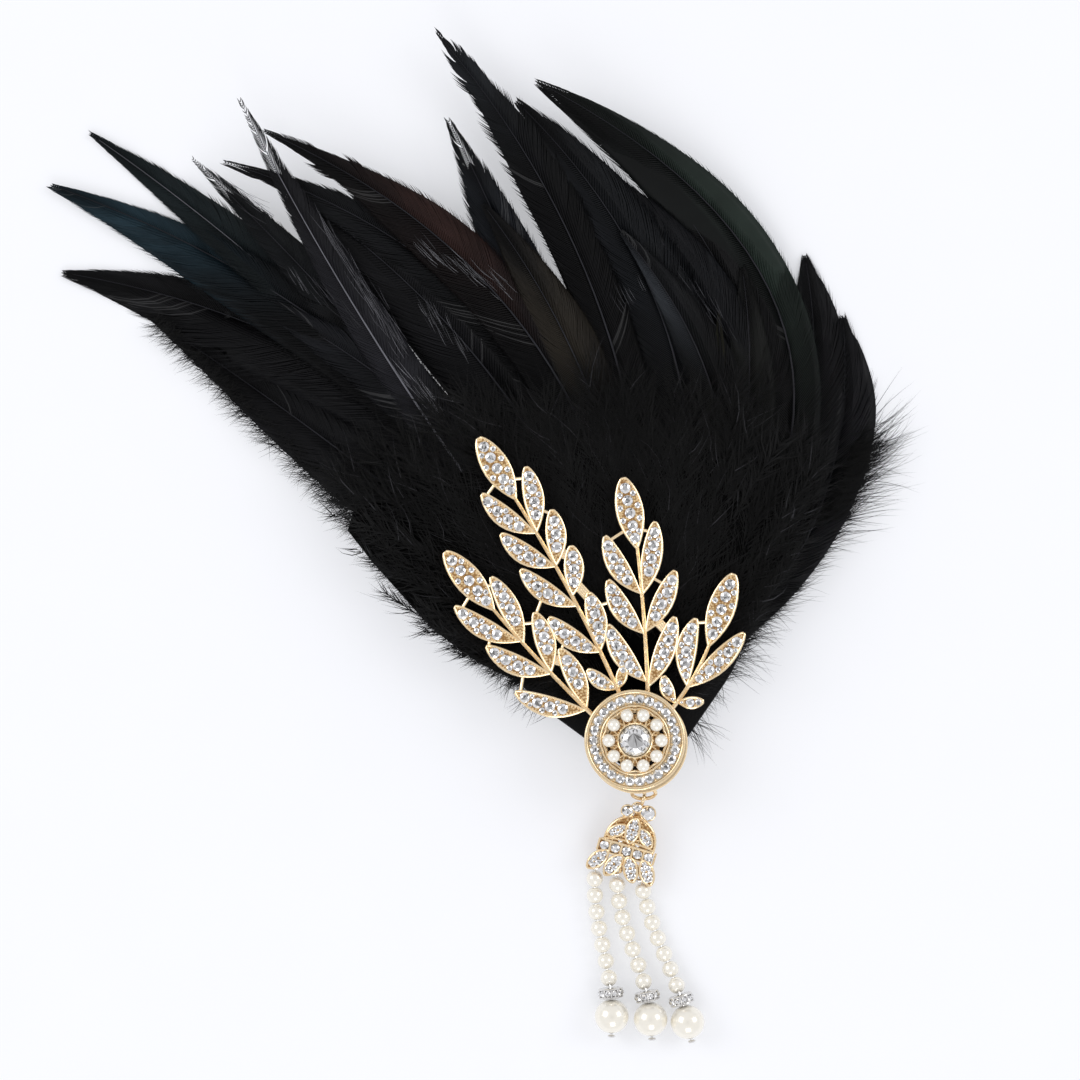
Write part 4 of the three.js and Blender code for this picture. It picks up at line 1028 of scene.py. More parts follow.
# Loose wisps along the down's edge. x, y and x2, y2 are the ends of the line that they root on, in
# millimetres from the medallion's axis, aim and spread their directions in degrees, reach their
# length in millimetres, curl their bend to the left as a share of it, and height how far up they
# end.
Wisp = namedtuple("Wisp", "x y x2 y2 aim spread count reach curl height")
WISPS = (
    Wisp(55.5, 74, 52.5, 60, 42, 16, 60, 15, -0.12, 5),
    Wisp(55.5, 70, 46, 51, 25, 26, 420, 6.5, -0.1, 4.5),
    Wisp(54.5, 68, 46, 51, 22, 13, 190, 13, -0.1, 4.5),
    Wisp(53, 62, 43, 43, 14, 12, 60, 16, 0.08, 4),
    Wisp(47, 52, 37, 35.5, 24, 16, 240, 9, 0.1, 4),
    Wisp(47, 52, 29, 28.5, 20, 26, 520, 5, 0.1, 4),
    Wisp(38, 37, 29, 28.5, 20, 18, 130, 8.5, -0.1, 3.5),
    Wisp(30, 30, 25, 21.5, -6, 20, 90, 9, 0.15, 3),
    Wisp(29, 29, 21, 14, -6, 28, 240, 4, 0.15, 3),
    Wisp(24, 20, 21, 14, -14, 16, 40, 11, 0.2, 2.5),
    Wisp(19.5, 13, 14, 5, -40, 22, 50, 6, 0.12, 2),
    Wisp(14.5, 5, 13, 1, -48, 18, 30, 10, 0.12, 2),
    Wisp(-51, 32, -47.5, 30, 168, 6, 8, 14, 0.1, 2),
    Wisp(-113, 97, -95, 80, 203, 20, 260, 3.5, 0.1, 2.5),
    Wisp(-96, 80, -76, 61, 196, 22, 300, 4, 0.1, 2.5),
    Wisp(-76, 61, -60, 43, 200, 22, 400, 4, -0.1, 2.5),
    Wisp(-60, 42.5, -48, 31, 206, 24, 360, 4.5, 0.1, 3),
    Wisp(-48, 31, -40, 24, 214, 24, 220, 5, 0.1, 3),
    Wisp(-40, 24, -31, 16, 222, 24, 200, 5, 0.1, 3),
    Wisp(-33, 14, -22, 5, 235, 26, 60, 4, 0.1, 3),
)


def down_reach(angle, settings):
    angles = [row.angle for row in DOWN_REACH]
    lengths = [row.length for row in DOWN_REACH]
    return np.interp(angle, angles, lengths) * settings.down_length / MM


def down_ceiling(points):
    """How high the down may stand: low under the ornament and full beyond it."""
    forward, across = forward_and_across(points, ORNAMENT_ANGLE)
    beyond = np.maximum(forward - ORNAMENT_REACH, across - ORNAMENT_HALF_WIDTH)
    return DOWN_CEILING + DOWN_LOFT * np.clip(beyond / 12, 0, 1)


def down_floor(points):
    return np.maximum(parting_height(points) + LAYER_GAP / 2, 2.6)


def core_of_down(settings, random):
    """A closed, softly lumpy body that fills the down, as wide as its thick part."""
    turns = np.linspace(10, 182, CORE_POINTS)
    upper = []
    lower = []
    filled = np.interp(turns, (10, 40, 60, 135, 150, 182), (0.97, 0.92, 0.8, 0.8, 0.93, 0.95))
    for share in np.linspace(0.02, 1.0, CORE_LINES):
        reach = down_reach(turns, settings) * share * filled
        plan = PLUME_ROOT + pointing(np.radians(turns)) * reach[:, None]
        edge = 1 - np.clip((share - 0.5) / 0.5, 0, 1) ** 2
        side = np.sin(np.radians((turns - 10) / 172 * 180)) ** 0.35
        low = down_floor(plan) - 0.5
        high = np.minimum(low + 0.4 + 1.3 * edge * side, down_ceiling(plan) - 1.0)
        high += random.normal(0, 0.15, len(turns))
        upper.append(np.column_stack((plan, np.maximum(high, low + 0.2))))
        lower.append(np.column_stack((plan, low)))
    return smooth_sheet("down_core", np.concatenate(upper + lower), CORE_LINES, CORE_POINTS)


def down_barbs(angles, settings, random, name):
    """Barbs of many plumes of down, which run out from the pad at the given angles."""
    rows = []
    for angle in angles:
        count = settings.down_barbs
        length = down_reach(angle, settings) * random.uniform(0.82, 1.04)
        sweep = random.normal(-0.03, 0.05)
        share = random.uniform(0.12, 1.0, count) ** 0.75
        root = bowed(PLUME_ROOT, angle, length, sweep, share)
        ahead = bowed(PLUME_ROOT, angle, length, sweep, share + 1e-3) - root
        ahead /= np.linalg.norm(ahead, axis=1, keepdims=True)
        side = random.choice((-1.0, 1.0), count)
        slope = np.radians(random.normal(24, 10, count)) * side
        full = np.interp(angle, (12, 46, 60, 138, 150, 178), (0.4, 0.6, 1.25, 1.25, 0.7, 0.4))
        reach = random.uniform(7, 16, count) * (0.5 + 0.5 * np.sin(math.pi * share * 0.9)) * full
        out = ahead * np.cos(slope)[:, None] + left_of(ahead) * np.sin(slope)[:, None]
        curl = random.normal(0, 0.16, count)
        tip = root + out * reach[:, None]
        bend = root + out * (0.5 * reach)[:, None] + left_of(out) * (curl * reach)[:, None]
        low, high = down_floor(root), down_ceiling(root)
        layer = random.random() * 0.7 + 0.3 * random.random(count)
        lie = low + (high - low - 0.8) * layer * (1 - 0.5 * share**2)
        tip_high = down_ceiling(tip) - 0.4
        tip_lie = np.minimum(down_floor(tip) + (lie - low) + random.normal(0.4, 0.9, count), tip_high)
        bend_lie = np.minimum((lie + tip_lie) / 2 + 0.8 * random.random(count), tip_high)
        height = np.stack((lie, bend_lie, np.maximum(tip_lie, 0.6)), axis=1)
        shade = np.tile(settings.down_colour, (count, 1))
        shade[:, :3] *= (0.3 + 4.5 * random.random() ** 3 + 1.4 * random.random(count))[:, None]
        # Painted highlight: a few strands are drawn pale grey, as if they caught the light.
        pale = random.random(count) < 0.02
        shade[pale, :3] = linear("#3e3e41")[:3]
        thick = random.uniform(0.14, 0.28, count)
        rows.append((root, bend, tip, height, thick, shade))
    return bundle(name, rows, (1, 0.78, 0.3))


def wisps(settings, random, name):
    """Loose strands that stand out from the down's edge."""
    rows = []
    for row in WISPS:
        count = row.count
        root = rooted(row, random, 0.8)
        out = pointing(np.radians(row.aim + random.normal(0, row.spread, count)))
        reach = row.reach * random.uniform(0.45, 1.1, count)
        root -= out * 3
        tip = root + out * (reach + 3)[:, None]
        curl = row.curl + random.normal(0, 0.1, count)
        bend = root + out * (0.55 * reach)[:, None] + left_of(out) * (curl * reach)[:, None]
        low = np.minimum(down_floor(root), 6.0)
        end = np.maximum(row.height * random.uniform(0.3, 1.2, count), 0.5)
        height = np.stack((low, (low + end) / 2 + 0.6, end), axis=1)
        shade = np.tile(settings.down_colour, (count, 1))
        thick = random.uniform(0.1, 0.2, count)
        rows.append((root, bend, tip, height, thick, shade))
    return bundle(name, rows, (1, 0.9, 0.75, 0.5, 0.3))


class HAIRCLIP_OT_down(bpy.types.Operator):
    """Makes the mass of down over the quills, and the wisps at its edge"""

    bl_idname = "hairclip.down"
    bl_label = "Down"

    def execute(self, context):
        settings = context.scene.hairclip_plume
        random = np.random.default_rng(7)
        loose = material_once("Dyed marabou down", dyed_down)
        packed = material_once("Packed marabou down", down_core, settings.down_colour)
        finished(give(core_of_down(settings, random), packed), ["down"])
        angles = np.linspace(13, 177, settings.down_plumes)
        angles += random.normal(0, 1.2, len(angles))
        random.shuffle(angles)
        for index, some in enumerate(np.array_split(angles, 2)):
            piece = down_barbs(some, settings, random, f"down_{index + 1}")
            finished(give(piece, loose), ["down"])
        finished(give(wisps(settings, random, "down_wisps"), loose), ["down"])
        return {"FINISHED"}


# Felt and clip


class HAIRCLIP_OT_felt_backing(bpy.types.Operator):
    """Makes the drop-shaped felt backing"""

    bl_idname = "hairclip.felt_backing"
    bl_label = "Felt backing"

    def execute(self, context):
        small, large = FELT_TIP_DIAMETER / 2, FELT_WIDTH / 2
        between = FELT_LENGTH - small - large
        axis = math.radians(FELT_ANGLE)
        touch = math.acos((small - large) / between)
        crown = FELT_TIP_PLACE + pointing(axis) * between
        outline = []
        for centre, radius, first, last in (
            (crown, large, axis - touch, axis + touch),
            (FELT_TIP_PLACE, small, axis + touch, axis - touch + 2 * math.pi),
        ):
            for angle in np.linspace(first, last, 40):
                x, y = centre + pointing(angle) * radius
                outline.append(placed(x, y, 0)[:2])
        felt = slab("felt_backing_piece", [outline], FELT_BOTTOM, FELT_BOTTOM + FELT_THICKNESS, 0.5)
        smooth_by_angle(felt)
        material = material_once("Black wool felt", wool_felt)
        finished(give(felt, material), ["felt_backing"])
        return {"FINISHED"}


CLIP_LENGTH = 50
CLIP_WIDTH = 9
CLIP_LEAF = 1.4
CLIP_TOP = 5.0
CLIP_TEETH = 14


class HAIRCLIP_OT_hair_clip(bpy.types.Operator):
    """Makes the plain spring clip under the felt"""

    bl_idname = "hairclip.hair_clip"
    bl_label = "Hair clip"

    def execute(self, context):
        half, width = CLIP_LENGTH / 2, CLIP_WIDTH / 2
        outline = [(-half, -width), (half - 4, -width), (half, -width * 0.45)]
        outline += [(half, width * 0.45), (half - 4, width), (-half, width)]
        outline = metres(outline)
        parts = [
            slab("clip_lower", [outline], 0, CLIP_LEAF, 0.35),
            slab("clip_upper", [outline], CLIP_TOP - 1.2, CLIP_TOP, 0.35),
        ]
        deselect()
        bpy.ops.mesh.primitive_cylinder_add(
            vertices=24,
            radius=1.35 * MM,
            depth=CLIP_WIDTH * 0.96 * MM,
            location=((-half + 4.5) * MM, 0, 2.6 * MM),
            rotation=(math.pi / 2, 0, 0),
        )
        parts.append(soften(added("clip_hinge"), 0.3, 2))
        deselect()
        bpy.ops.mesh.primitive_cube_add(size=1)
        tooth = bpy.context.object
        tooth.scale = (0.8 * MM, CLIP_WIDTH * 0.86 * MM, 0.7 * MM)
        tooth = soften(added("clip_tooth"), 0.2, 2)
        rows = [
            Matrix.Translation(((-half + 14 + 2.5 * i) * MM, 0, (CLIP_LEAF + 0.2) * MM))
            for i in range(CLIP_TEETH)
        ]
        parts.append(scattered("clip_teeth", tooth, rows))
        clip = smooth_by_angle(joined("hair_clip_piece", parts))
        turn = Matrix.Rotation(math.radians(FELT_ANGLE), 4, "Z")
        clip.data.transform(turn)
        steel = plated("Black sprung steel", linear("#2b2b2e"), 0.35)
        finished(give(clip, steel), ["hair_clip"])
        return {"FINISHED"}


# Leaf ornament. root is the angle of the stem's foot round the medallion, aim the stem's
# direction, stem and bow its length and bow in shares of the longest stem and of its own length.
# A leaf's name starts with its spray's, and 0 is the one at the stem's end. at is the share of
# the stem that it grows from, splay its turn to the left, length a share of a side leaf's.
Spray = namedtuple("Spray", "root aim stem bow")
SPRAYS = {
    "a": Spray(148.2, 133.2, 0.642, 0.012),
    "b": Spray(108.6, 118.2, 1, -0.018),
    "c": Spray(76, 94.2, 0.644, -0.01),
    "d": Spray(41, 59.9, 0.305, -0.035),
}
Leaf = namedtuple("Leaf", "name at splay length stones")
LEAVES = (
    Leaf("a0", 1, -3, 1.03, 5),
    Leaf("a1L", 0.71, 19, 1.1, 4),
    Leaf("a1R", 0.68, -17, 1.1, 4),
    Leaf("a2L", 0.39, 24, 1.03, 4),
    Leaf("a2R", 0.39, -28, 0.93, 3),
    Leaf("a3L", 0.02, 33, 1.08, 4),
    Leaf("a3R", 0.02, -19, 0.98, 3),
    Leaf("b0", 1, 3, 0.97, 5),
    Leaf("b1L", 0.82, 26, 0.99, 4),
    Leaf("b1R", 0.82, -19, 0.99, 4),
    Leaf("b2L", 0.64, 31, 0.94, 4),
    Leaf("b2R", 0.64, -24, 0.84, 3),
    Leaf("b3L", 0.43, 29, 0.99, 4),
    Leaf("b3R", 0.48, -27, 0.75, 3),
    Leaf("b4L", 0.19, 28, 0.91, 4),
    Leaf("b4R", 0.19, -17, 0.89, 4),
    Leaf("b5L", 0, 29, 0.53, 3),
    Leaf("b5R", 0, -42, 0.36, 2),
    Leaf("c0", 1, 7, 0.98, 5),
    Leaf("c1L", 0.68, 28, 1.01, 4),
    Leaf("c1R", 0.67, -14, 1.1, 4),
    Leaf("c2L", 0.39, 30, 0.96, 4),
    Leaf("c2R", 0.4, -30, 1.01, 4),
    Leaf("c3L", 0.04, 30, 1.02, 5),
    Leaf("c3R", 0, -25, 1.11, 4),
    Leaf("d0", 1, 11, 1.04, 5),
    Leaf("d1L", 0.32, 23, 1.02, 5),
    Leaf("d1R", 0.32, -16, 1.15, 5),
    Leaf("d2L", 0.02, 54, 0.45, 3),
    Leaf("d2R", 0.05, -58, 0.39, 3),
)

# Nubs and webs between neighbouring leaves, each from a share of one leaf to a share of another.
# ribs is the number of wires side by side.
Link = namedtuple("Link", "first share second second_share ribs")
LINKS = (
    Link("b0", 0.33, "b1R", 0.82, 1),
    Link("b0", 0.4, "b1L", 0.92, 1),
    Link("b1R", 0.38, "b2R", 0.9, 1),
    Link("b2R", 0.25, "b3R", 0.78, 4),
    Link("b3R", 0.3, "b4R", 0.85, 4),
    Link("a0", 0.38, "a1R", 0.88, 1),
    Link("a0", 0.4, "a1L", 0.9, 1),
    Link("a1L", 0.42, "a2L", 0.95, 1),
    Link("a2L", 0.38, "a3L", 0.92, 1),
    Link("a1R", 0.28, "a2R", 0.82, 1),
    Link("a2R", 0.25, "a3R", 0.72, 4),
    Link("b3L", 0.52, "a2R", 0.95, 1),
    Link("b4L", 0.6, "a3R", 0.95, 1),
    Link("a3R", 0.5, "b5L", 0.88, 1),
    Link("b4R", 0.75, "c2L", 0.66, 1),
    Link("c0", 0.34, "c1L", 0.9, 1),
    Link("c0", 0.32, "c1R", 0.84, 1),
    Link("c1R", 0.28, "c2R", 0.74, 1),
    Link("c2R", 0.25, "c3R", 0.75, 4),
    Link("b4R", 0.35, "c3L", 0.8, 1),
    Link("b5R", 0.9, "c3L", 0.42, 1),
    Link("c3R", 0.66, "d1L", 0.58, 2),
    Link("d1L", 0.92, "d0", 0.36, 1),
)
LONGEST_STEM = 49.5
LEAF_BOW = 0.08
LINK_WIRE = 0.42
STONE_PITCH = 3.05
FIRST_STONE = 0.17
LAST_STONE = 0.85
GRAIN_PITCH = 0.66
CHIP_DIAMETER = 1.35
OUTLINE_STEPS = 14

PlacedLeaf = namedtuple("PlacedLeaf", "foot angle length width bow stones")


def stem_point(spray, settings, share):
    reach = settings.medallion_diameter / MM * 0.53
    foot = pointing(math.radians(spray.root)) * reach
    return bowed(foot, spray.aim, LONGEST_STEM * spray.stem, spray.bow, share)


def placed_leaves(settings):
    leaves = {}
    for row in LEAVES:
        spray = SPRAYS[row.name[0]]
        end_leaf = row.name[1] == "0"
        full = (settings.terminal_length if end_leaf else settings.leaf_length) / MM
        side_width = settings.leaf_width / MM * min(1, row.length + 0.22)
        leaves[row.name] = PlacedLeaf(
            foot=stem_point(spray, settings, row.at),
            angle=spray.aim + row.splay,
            length=full * row.length,
            width=settings.terminal_width / MM if end_leaf else side_width,
            bow=0 if end_leaf else LEAF_BOW * (1 if row.splay > 0 else -0.5),
            stones=row.stones,
        )
    return leaves


def leaf_half(leaf, share):
    """Half of a leaf's width: pointed at its foot and round at its tip."""
    share = np.asarray(share)
    return leaf.width / 2 * np.sin(math.pi * share**1.12) ** (0.78 - 0.26 * share)


def leaf_point(leaf, share, across=0.0):
    """A point on a leaf: a share of its length, and millimetres to the left of its middle."""
    share = np.asarray(share, float)
    middle = bowed(leaf.foot, leaf.angle, leaf.length, leaf.bow, share)
    left = left_of(pointing(math.radians(leaf.angle)))
    return middle + left * np.asarray(across, float)[..., None]


def leaf_outline(leaf, inset):
    """The leaf's edge, drawn in by a margin."""
    share = (1 - np.cos(np.linspace(0, math.pi, OUTLINE_STEPS + 1))) / 2
    margin = inset / leaf.length
    share = margin + share * (1 - 2 * margin)
    half = np.maximum(leaf_half(leaf, share) - inset, 0.02)
    left = leaf_point(leaf, share, half)
    right = leaf_point(leaf, share, -half)
    return np.concatenate((right, left[::-1]))


def grains(settings, leaves):
    """Where the round grains that hold each stone lie."""
    spots = []
    for leaf in leaves.values():
        row = stone_row(settings, leaf)
        for share, diameter in row[:1] + row[-1:]:
            for angle in (45, 135, 225, 315):
                along, across = around(diameter / 2 + 0.12, math.radians(angle))
                along = share + along / leaf.length
                if abs(across) < leaf_half(leaf, min(max(along, 0.01), 0.99)) - 0.25:
                    x, y = leaf_point(leaf, along, across)
                    spots.append(at(x, y, BED_LEVEL + 0.12))
        count = int(0.84 * leaf.length / GRAIN_PITCH)
        for share in np.linspace(0.08, 0.92, count):
            across = float(leaf_half(leaf, share)) - settings.rim_wire / MM - 0.12
            for side in (across, -across) if across > 0.2 else (0,):
                x, y = leaf_point(leaf, share, side)
                spots.append(at(x, y, BED_LEVEL - 0.02, 0, 0.85))
    return spots


def stone_row(settings, leaf):
    """Shares and diameters of the stones on a leaf."""
    rim = settings.rim_wire / MM
    last = LAST_STONE if leaf.stones > 3 else LAST_STONE - 0.06
    pitch = min(STONE_PITCH / leaf.length, (last - FIRST_STONE) / (leaf.stones - 1))
    rows = []
    for i in range(leaf.stones):
        share = last - pitch * (leaf.stones - 1 - i)
        room = 2 * float(leaf_half(leaf, share)) - 1.6 * rim
        rows.append((share, min(settings.stone_diameter / MM, room)))
    return rows


def chips(settings, leaf):
    """Shares, sides and diameters of the small stones between the large ones."""
    row = stone_row(settings, leaf)
    spots = []
    for (first, wide), (second, next_wide) in zip(row, row[1:]):
        share = (first + second) / 2
        edge = float(leaf_half(leaf, share)) - 0.9 * settings.rim_wire / MM
        step = (second - first) * leaf.length / 2
        large = (wide + next_wide) / 4
        diameter = min(CHIP_DIAMETER, edge * 0.7)
        across = max(edge - diameter / 2, 0.1)
        if math.hypot(step, across) > large + diameter / 2 - 0.1 and diameter > 0.7:
            spots += [(share, across, diameter), (share, -across, diameter)]
    return spots


class HAIRCLIP_OT_leaf_sprays(bpy.types.Operator):
    """Makes the gilt sprays: leaves with rims and grained beds, stems, webs and base plate"""

    bl_idname = "hairclip.leaf_sprays"
    bl_label = "Leaf sprays"

    def execute(self, context):
        settings = context.scene.hairclip_ornament
        leaves = placed_leaves(settings)
        rim = settings.rim_wire / MM / 2
        outlines = [
            [placed(x, y, 0)[:2] for x, y in leaf_outline(leaf, rim * 0.6)]
            for leaf in leaves.values()
        ]
        beds = slab("leaf_beds", outlines, CASTING_BOTTOM, BED_LEVEL)
        rims = [
            [placed(x, y, BED_LEVEL) for x, y in leaf_outline(leaf, rim)]
            for leaf in leaves.values()
        ]
        parts = [wire("leaf_rims", rims, rim, 8, closed=True)]
        stem_rows = []
        for spray in SPRAYS.values():
            length = LONGEST_STEM * spray.stem
            share = np.linspace(-2.0 / length, 1 + 3.5 / length, 24)
            plan = stem_point(spray, settings, share)
            stem_rows.append([placed(x, y, BED_LEVEL + 0.1) for x, y in plan])
        radius = settings.stem_wire / MM / 2
        parts.append(wire("stems", stem_rows, radius, 4, taper=lambda s: 1 - 0.3 * s))
        ribs = []
        for row in LINKS:
            start = leaf_point(leaves[row.first], row.share)
            end = leaf_point(leaves[row.second], row.second_share)
            along = (end - start) / np.linalg.norm(end - start)
            for k in range(row.ribs):
                shift = left_of(along) * (k - (row.ribs - 1) / 2) * LINK_WIRE * 1.25
                level = BED_LEVEL - 0.47
                ribs.append([placed(*(start + shift), level), placed(*(end + shift), level)])
        parts.append(wire("links", ribs, LINK_WIRE, 8))
        parts.append(scattered("grains", bead("grain", 0.62), grains(settings, leaves)))
        outer = settings.medallion_diameter / MM / 2
        low, top = CASTING_BOTTOM, BED_LEVEL
        profile = [(PLATE_HOLE, low), (outer - 0.3, low), (outer, low + 0.3)]
        profile += [(outer, top - 0.3), (outer - 0.3, top), (PLATE_HOLE, top)]
        plate = spun("base_plate", profile, 72)
        plate.data.transform(Matrix.Translation(placed(*PLATE_SHIFT, 0)))
        parts.append(plate)
        upright = (0, math.pi / 2, 0)
        parts.append(torus("eyelet", 1.2, 0.4, 28, 10, placed(*EYELET_PLACE), upright))
        polished, grained = gilt_polish(settings), gilt_bed(settings)
        bright = give(smooth_by_angle(joined("leaf_sprays", parts)), polished)
        finished(bright, ["leaf_casting"])
        finished(give(smooth_by_angle(beds), grained), ["leaf_casting"])
        return {"FINISHED"}


class HAIRCLIP_OT_leaf_stones(bpy.types.Operator):
    """Sets the row of cut stones on each leaf"""

    bl_idname = "hairclip.leaf_stones"
    bl_label = "Leaf stones"

    def execute(self, context):
        settings = context.scene.hairclip_ornament
        random = np.random.default_rng(21)
        full = settings.stone_diameter / MM
        spots = []
        for leaf in placed_leaves(settings).values():
            for share, diameter in stone_row(settings, leaf):
                x, y = leaf_point(leaf, share)
                turn = random.uniform(0, 360)
                spots.append(at(x, y, BED_LEVEL + 0.3, turn, diameter / full))
            for share, across, diameter in chips(settings, leaf):
                x, y = leaf_point(leaf, share, across)
                spots.append(at(x, y, BED_LEVEL + 0.15, random.uniform(0, 360), diameter / full))
        stones = scattered("leaf_stones", brilliant("stone", full, 0.32, 0.35), spots)
        shaded_facets(stones, random)
        finished(give(stones, crystal(settings)), ["leaf_casting"])
        return {"FINISHED"}


# Medallion

EYELET_PLACE = (2.2, -11.21, 11.9)
BAND_STONES = 26
ROSETTE_PEARLS = 10
PEARL_CIRCLE = 6.05
ROSETTE_PEARL_DIAMETER = 3.0
BEZEL_GRAINS = 20
PLATE_HOLE = 7.05
PLATE_SHIFT = (0.61, -0.8)


class HAIRCLIP_OT_medallion(bpy.types.Operator):
    """Makes the medallion's frame and its band of stones"""

    bl_idname = "hairclip.medallion"
    bl_label = "Medallion"

    def execute(self, context):
        settings = context.scene.hairclip_ornament
        random = np.random.default_rng(31)
        outer = settings.medallion_diameter / MM / 2
        top, channel, low = MEDALLION_TOP, CHANNEL_LEVEL - 0.25, MEDALLION_BOTTOM
        side = [(PLATE_HOLE, low), (outer - 0.2, low), (outer, low + 0.3)]
        rim = [(outer, top - 0.3), (outer - 0.12, top - 0.08), (outer - 0.45, top)]
        rim += [(outer - 0.8, top - 0.08), (outer - 0.95, top - 0.3), (outer - 1.0, channel)]
        lip = [(8.3, channel), (8.25, top - 0.3), (8.08, top - 0.08), (7.83, top)]
        lip += [(7.68, top - 0.08), (7.55, top - 0.3), (7.55, 16.0), (PLATE_HOLE, 16.0)]
        frame_ring = spun("medallion_frame", side + rim + lip, 96)
        frame_ring.data.transform(Matrix.Translation(placed(0, 0, 0)))
        circle = (outer - 1.0 + 8.3) / 2
        spots = []
        beads = []
        for i in range(BAND_STONES):
            angle = 2 * math.pi * i / BAND_STONES
            x, y = around(circle, angle)
            spots.append(at(x, y, channel + 0.35, random.uniform(0, 360)))
            between = angle + math.pi / BAND_STONES
            for reach in (circle - 0.92, circle + 0.92):
                beads.append(at(*around(reach, between), channel + 0.35))
        grain_beads = scattered("band_grains", bead("grain", 0.55), beads)
        metal = joined("medallion_ring", [frame_ring, grain_beads])
        smooth_by_angle(metal, 50)
        finished(give(metal, gilt_polish(settings)), ["medallion"])
        full = settings.band_stone / MM
        stones = scattered("band_stones", brilliant("stone", full, 0.32, 0.35), spots)
        shaded_facets(stones, random, 0.36)
        finished(give(stones, crystal(settings)), ["medallion"])
        return {"FINISHED"}


class HAIRCLIP_OT_rosette(bpy.types.Operator):
    """Makes the rosette: scalloped plate, pearl cups, bezel, centre stone and ten pearls"""

    bl_idname = "hairclip.rosette"
    bl_label = "Rosette"

    def execute(self, context):
        settings = context.scene.hairclip_ornament
        random = np.random.default_rng(41)
        bezel = settings.centre_stone / MM / 2 + 0.3
        low, top, girdle = ROSETTE_BOTTOM, ROSETTE_TOP, CENTRE_GIRDLE
        profile = [(bezel - 1.6, low), (bezel + 0.45, low), (bezel + 0.5, top)]
        profile += [(bezel + 0.35, girdle - 0.1), (bezel + 0.1, girdle + 0.12)]
        profile += [(bezel - 0.12, girdle), (bezel - 0.2, girdle - 0.9), (bezel - 1.6, top)]
        parts = [spun("bezel", profile, 72)]
        parts[0].data.transform(Matrix.Translation(placed(0, 0, 0)))
        cups = []
        spokes = []
        scallops = []
        pearls = []
        for i in range(ROSETTE_PEARLS):
            angle = 2 * math.pi * i / ROSETTE_PEARLS
            x, y = around(PEARL_CIRCLE, angle)
            cups.append(at(x, y, ROSETTE_TOP))
            pearls.append(at(x, y, ROSETTE_TOP + 0.25 + ROSETTE_PEARL_DIAMETER / 2))
            between = angle + math.pi / ROSETTE_PEARLS
            for turn in (-0.07, 0.07):
                path = []
                for share in np.linspace(0, 1, 5):
                    reach = bezel + 0.2 + (5.0 - bezel) * share
                    x, y = around(reach, between + turn * share * 1.4)
                    path.append(placed(x, y, ROSETTE_TOP + 0.5 - 0.2 * share))
                spokes.append(path)
            arc = []
            for share in np.linspace(-1, 1, 9):
                turn = angle + share * math.pi / ROSETTE_PEARLS
                reach = 7.42 - 0.42 * share**2
                arc.append(placed(*around(reach, turn), ROSETTE_TOP - 0.1))
            scallops.append(arc)
        parts.append(scattered("pearl_cups", torus("pearl_cup", 1.3, 0.3, 24, 8), cups))
        parts.append(wire("rosette_spokes", spokes, 0.3, 8))
        parts.append(wire("rosette_scallops", scallops, 0.26, 8))
        prongs = []
        for i in range(BEZEL_GRAINS):
            x, y = around(bezel + 0.25, 2 * math.pi * i / BEZEL_GRAINS)
            prongs.append(at(x, y, CENTRE_GIRDLE - 0.05))
        parts.append(scattered("bezel_grains", bead("grain", 0.6, 2), prongs))
        metal = smooth_by_angle(joined("rosette_metal", parts), 50)
        finished(give(metal, gilt_polish(settings)), ["rosette"])

        plate = rosette_plate()
        finished(give(plate, gilt_bed(settings)), ["rosette"])

        stone = brilliant("centre_stone_piece", settings.centre_stone / MM, 1.3, 1.0, 12)
        edit(stone)
        bpy.ops.mesh.poke()
        deselect()
        stone.data.transform(Matrix.Translation(placed(0, 0, CENTRE_GIRDLE + 0.02)))
        shaded_facets(stone, random, 0.26)
        finished(give(stone, crystal(settings)), ["centre_stone"])

        tassel = context.scene.hairclip_tassel
        beads = scattered("rosette_pearls", pearl("pearl", ROSETTE_PEARL_DIAMETER, 24, 0), pearls)
        names = [f"rosette_pearl_{i + 1:02d}" for i in range(ROSETTE_PEARLS)]
        finished(give(beads, pearl_material(tassel)), names)
        return {"FINISHED"}


def rosette_plate():
    """The plate under the pearls, pierced by ten holes that show dark between them."""
    rings = 15
    sides = 240
    inner, outer = 4.3, 7.2
    vertices = []
    for level in (ROSETTE_TOP - 0.15, ROSETTE_BOTTOM):
        for i in range(rings):
            reach = inner + (outer - inner) * i / (rings - 1)
            for j in range(sides):
                vertices.append(placed(*around(reach, 2 * math.pi * j / sides), level))
    size = rings * sides
    faces = []
    open_cells = set()
    for i in range(rings - 1):
        for j in range(sides):
            reach = inner + (outer - inner) * (i + 0.5) / (rings - 1)
            angle = 2 * math.pi * (j + 0.5) / sides
            step = 2 * math.pi / ROSETTE_PEARLS
            nearest = (math.floor(angle / step) + 0.5) * step
            across = reach * math.sin(angle - nearest)
            if math.hypot(reach - 6.62, across) < 0.62:
                open_cells.add((i, j))
    for i in range(rings - 1):
        for j in range(sides):
            if (i, j) in open_cells:
                continue
            k = (j + 1) % sides
            a, b = i * sides + j, i * sides + k
            c, d = (i + 1) * sides + k, (i + 1) * sides + j
            faces.append((a, d, c, b))
            faces.append((a + size, b + size, c + size, d + size))
            for (low, high), beyond in (
                ((a, b), (i - 1, j)),
                ((c, d), (i + 1, j)),
                ((b, c), (i, k)),
                ((d, a), (i, (j - 1) % sides)),
            ):
                if beyond in open_cells or not 0 <= beyond[0] < rings - 1:
                    faces.append((low, high, high + size, low + size))
    obj = edit(mesh_object("rosette_plate", vertices, faces))
    bpy.ops.mesh.normals_make_consistent(inside=False)
    bpy.ops.mesh.select_all(action="DESELECT")
    bpy.ops.mesh.select_loose()
    bpy.ops.mesh.delete(type="VERT")
    deselect()
    return obj


# Tassel


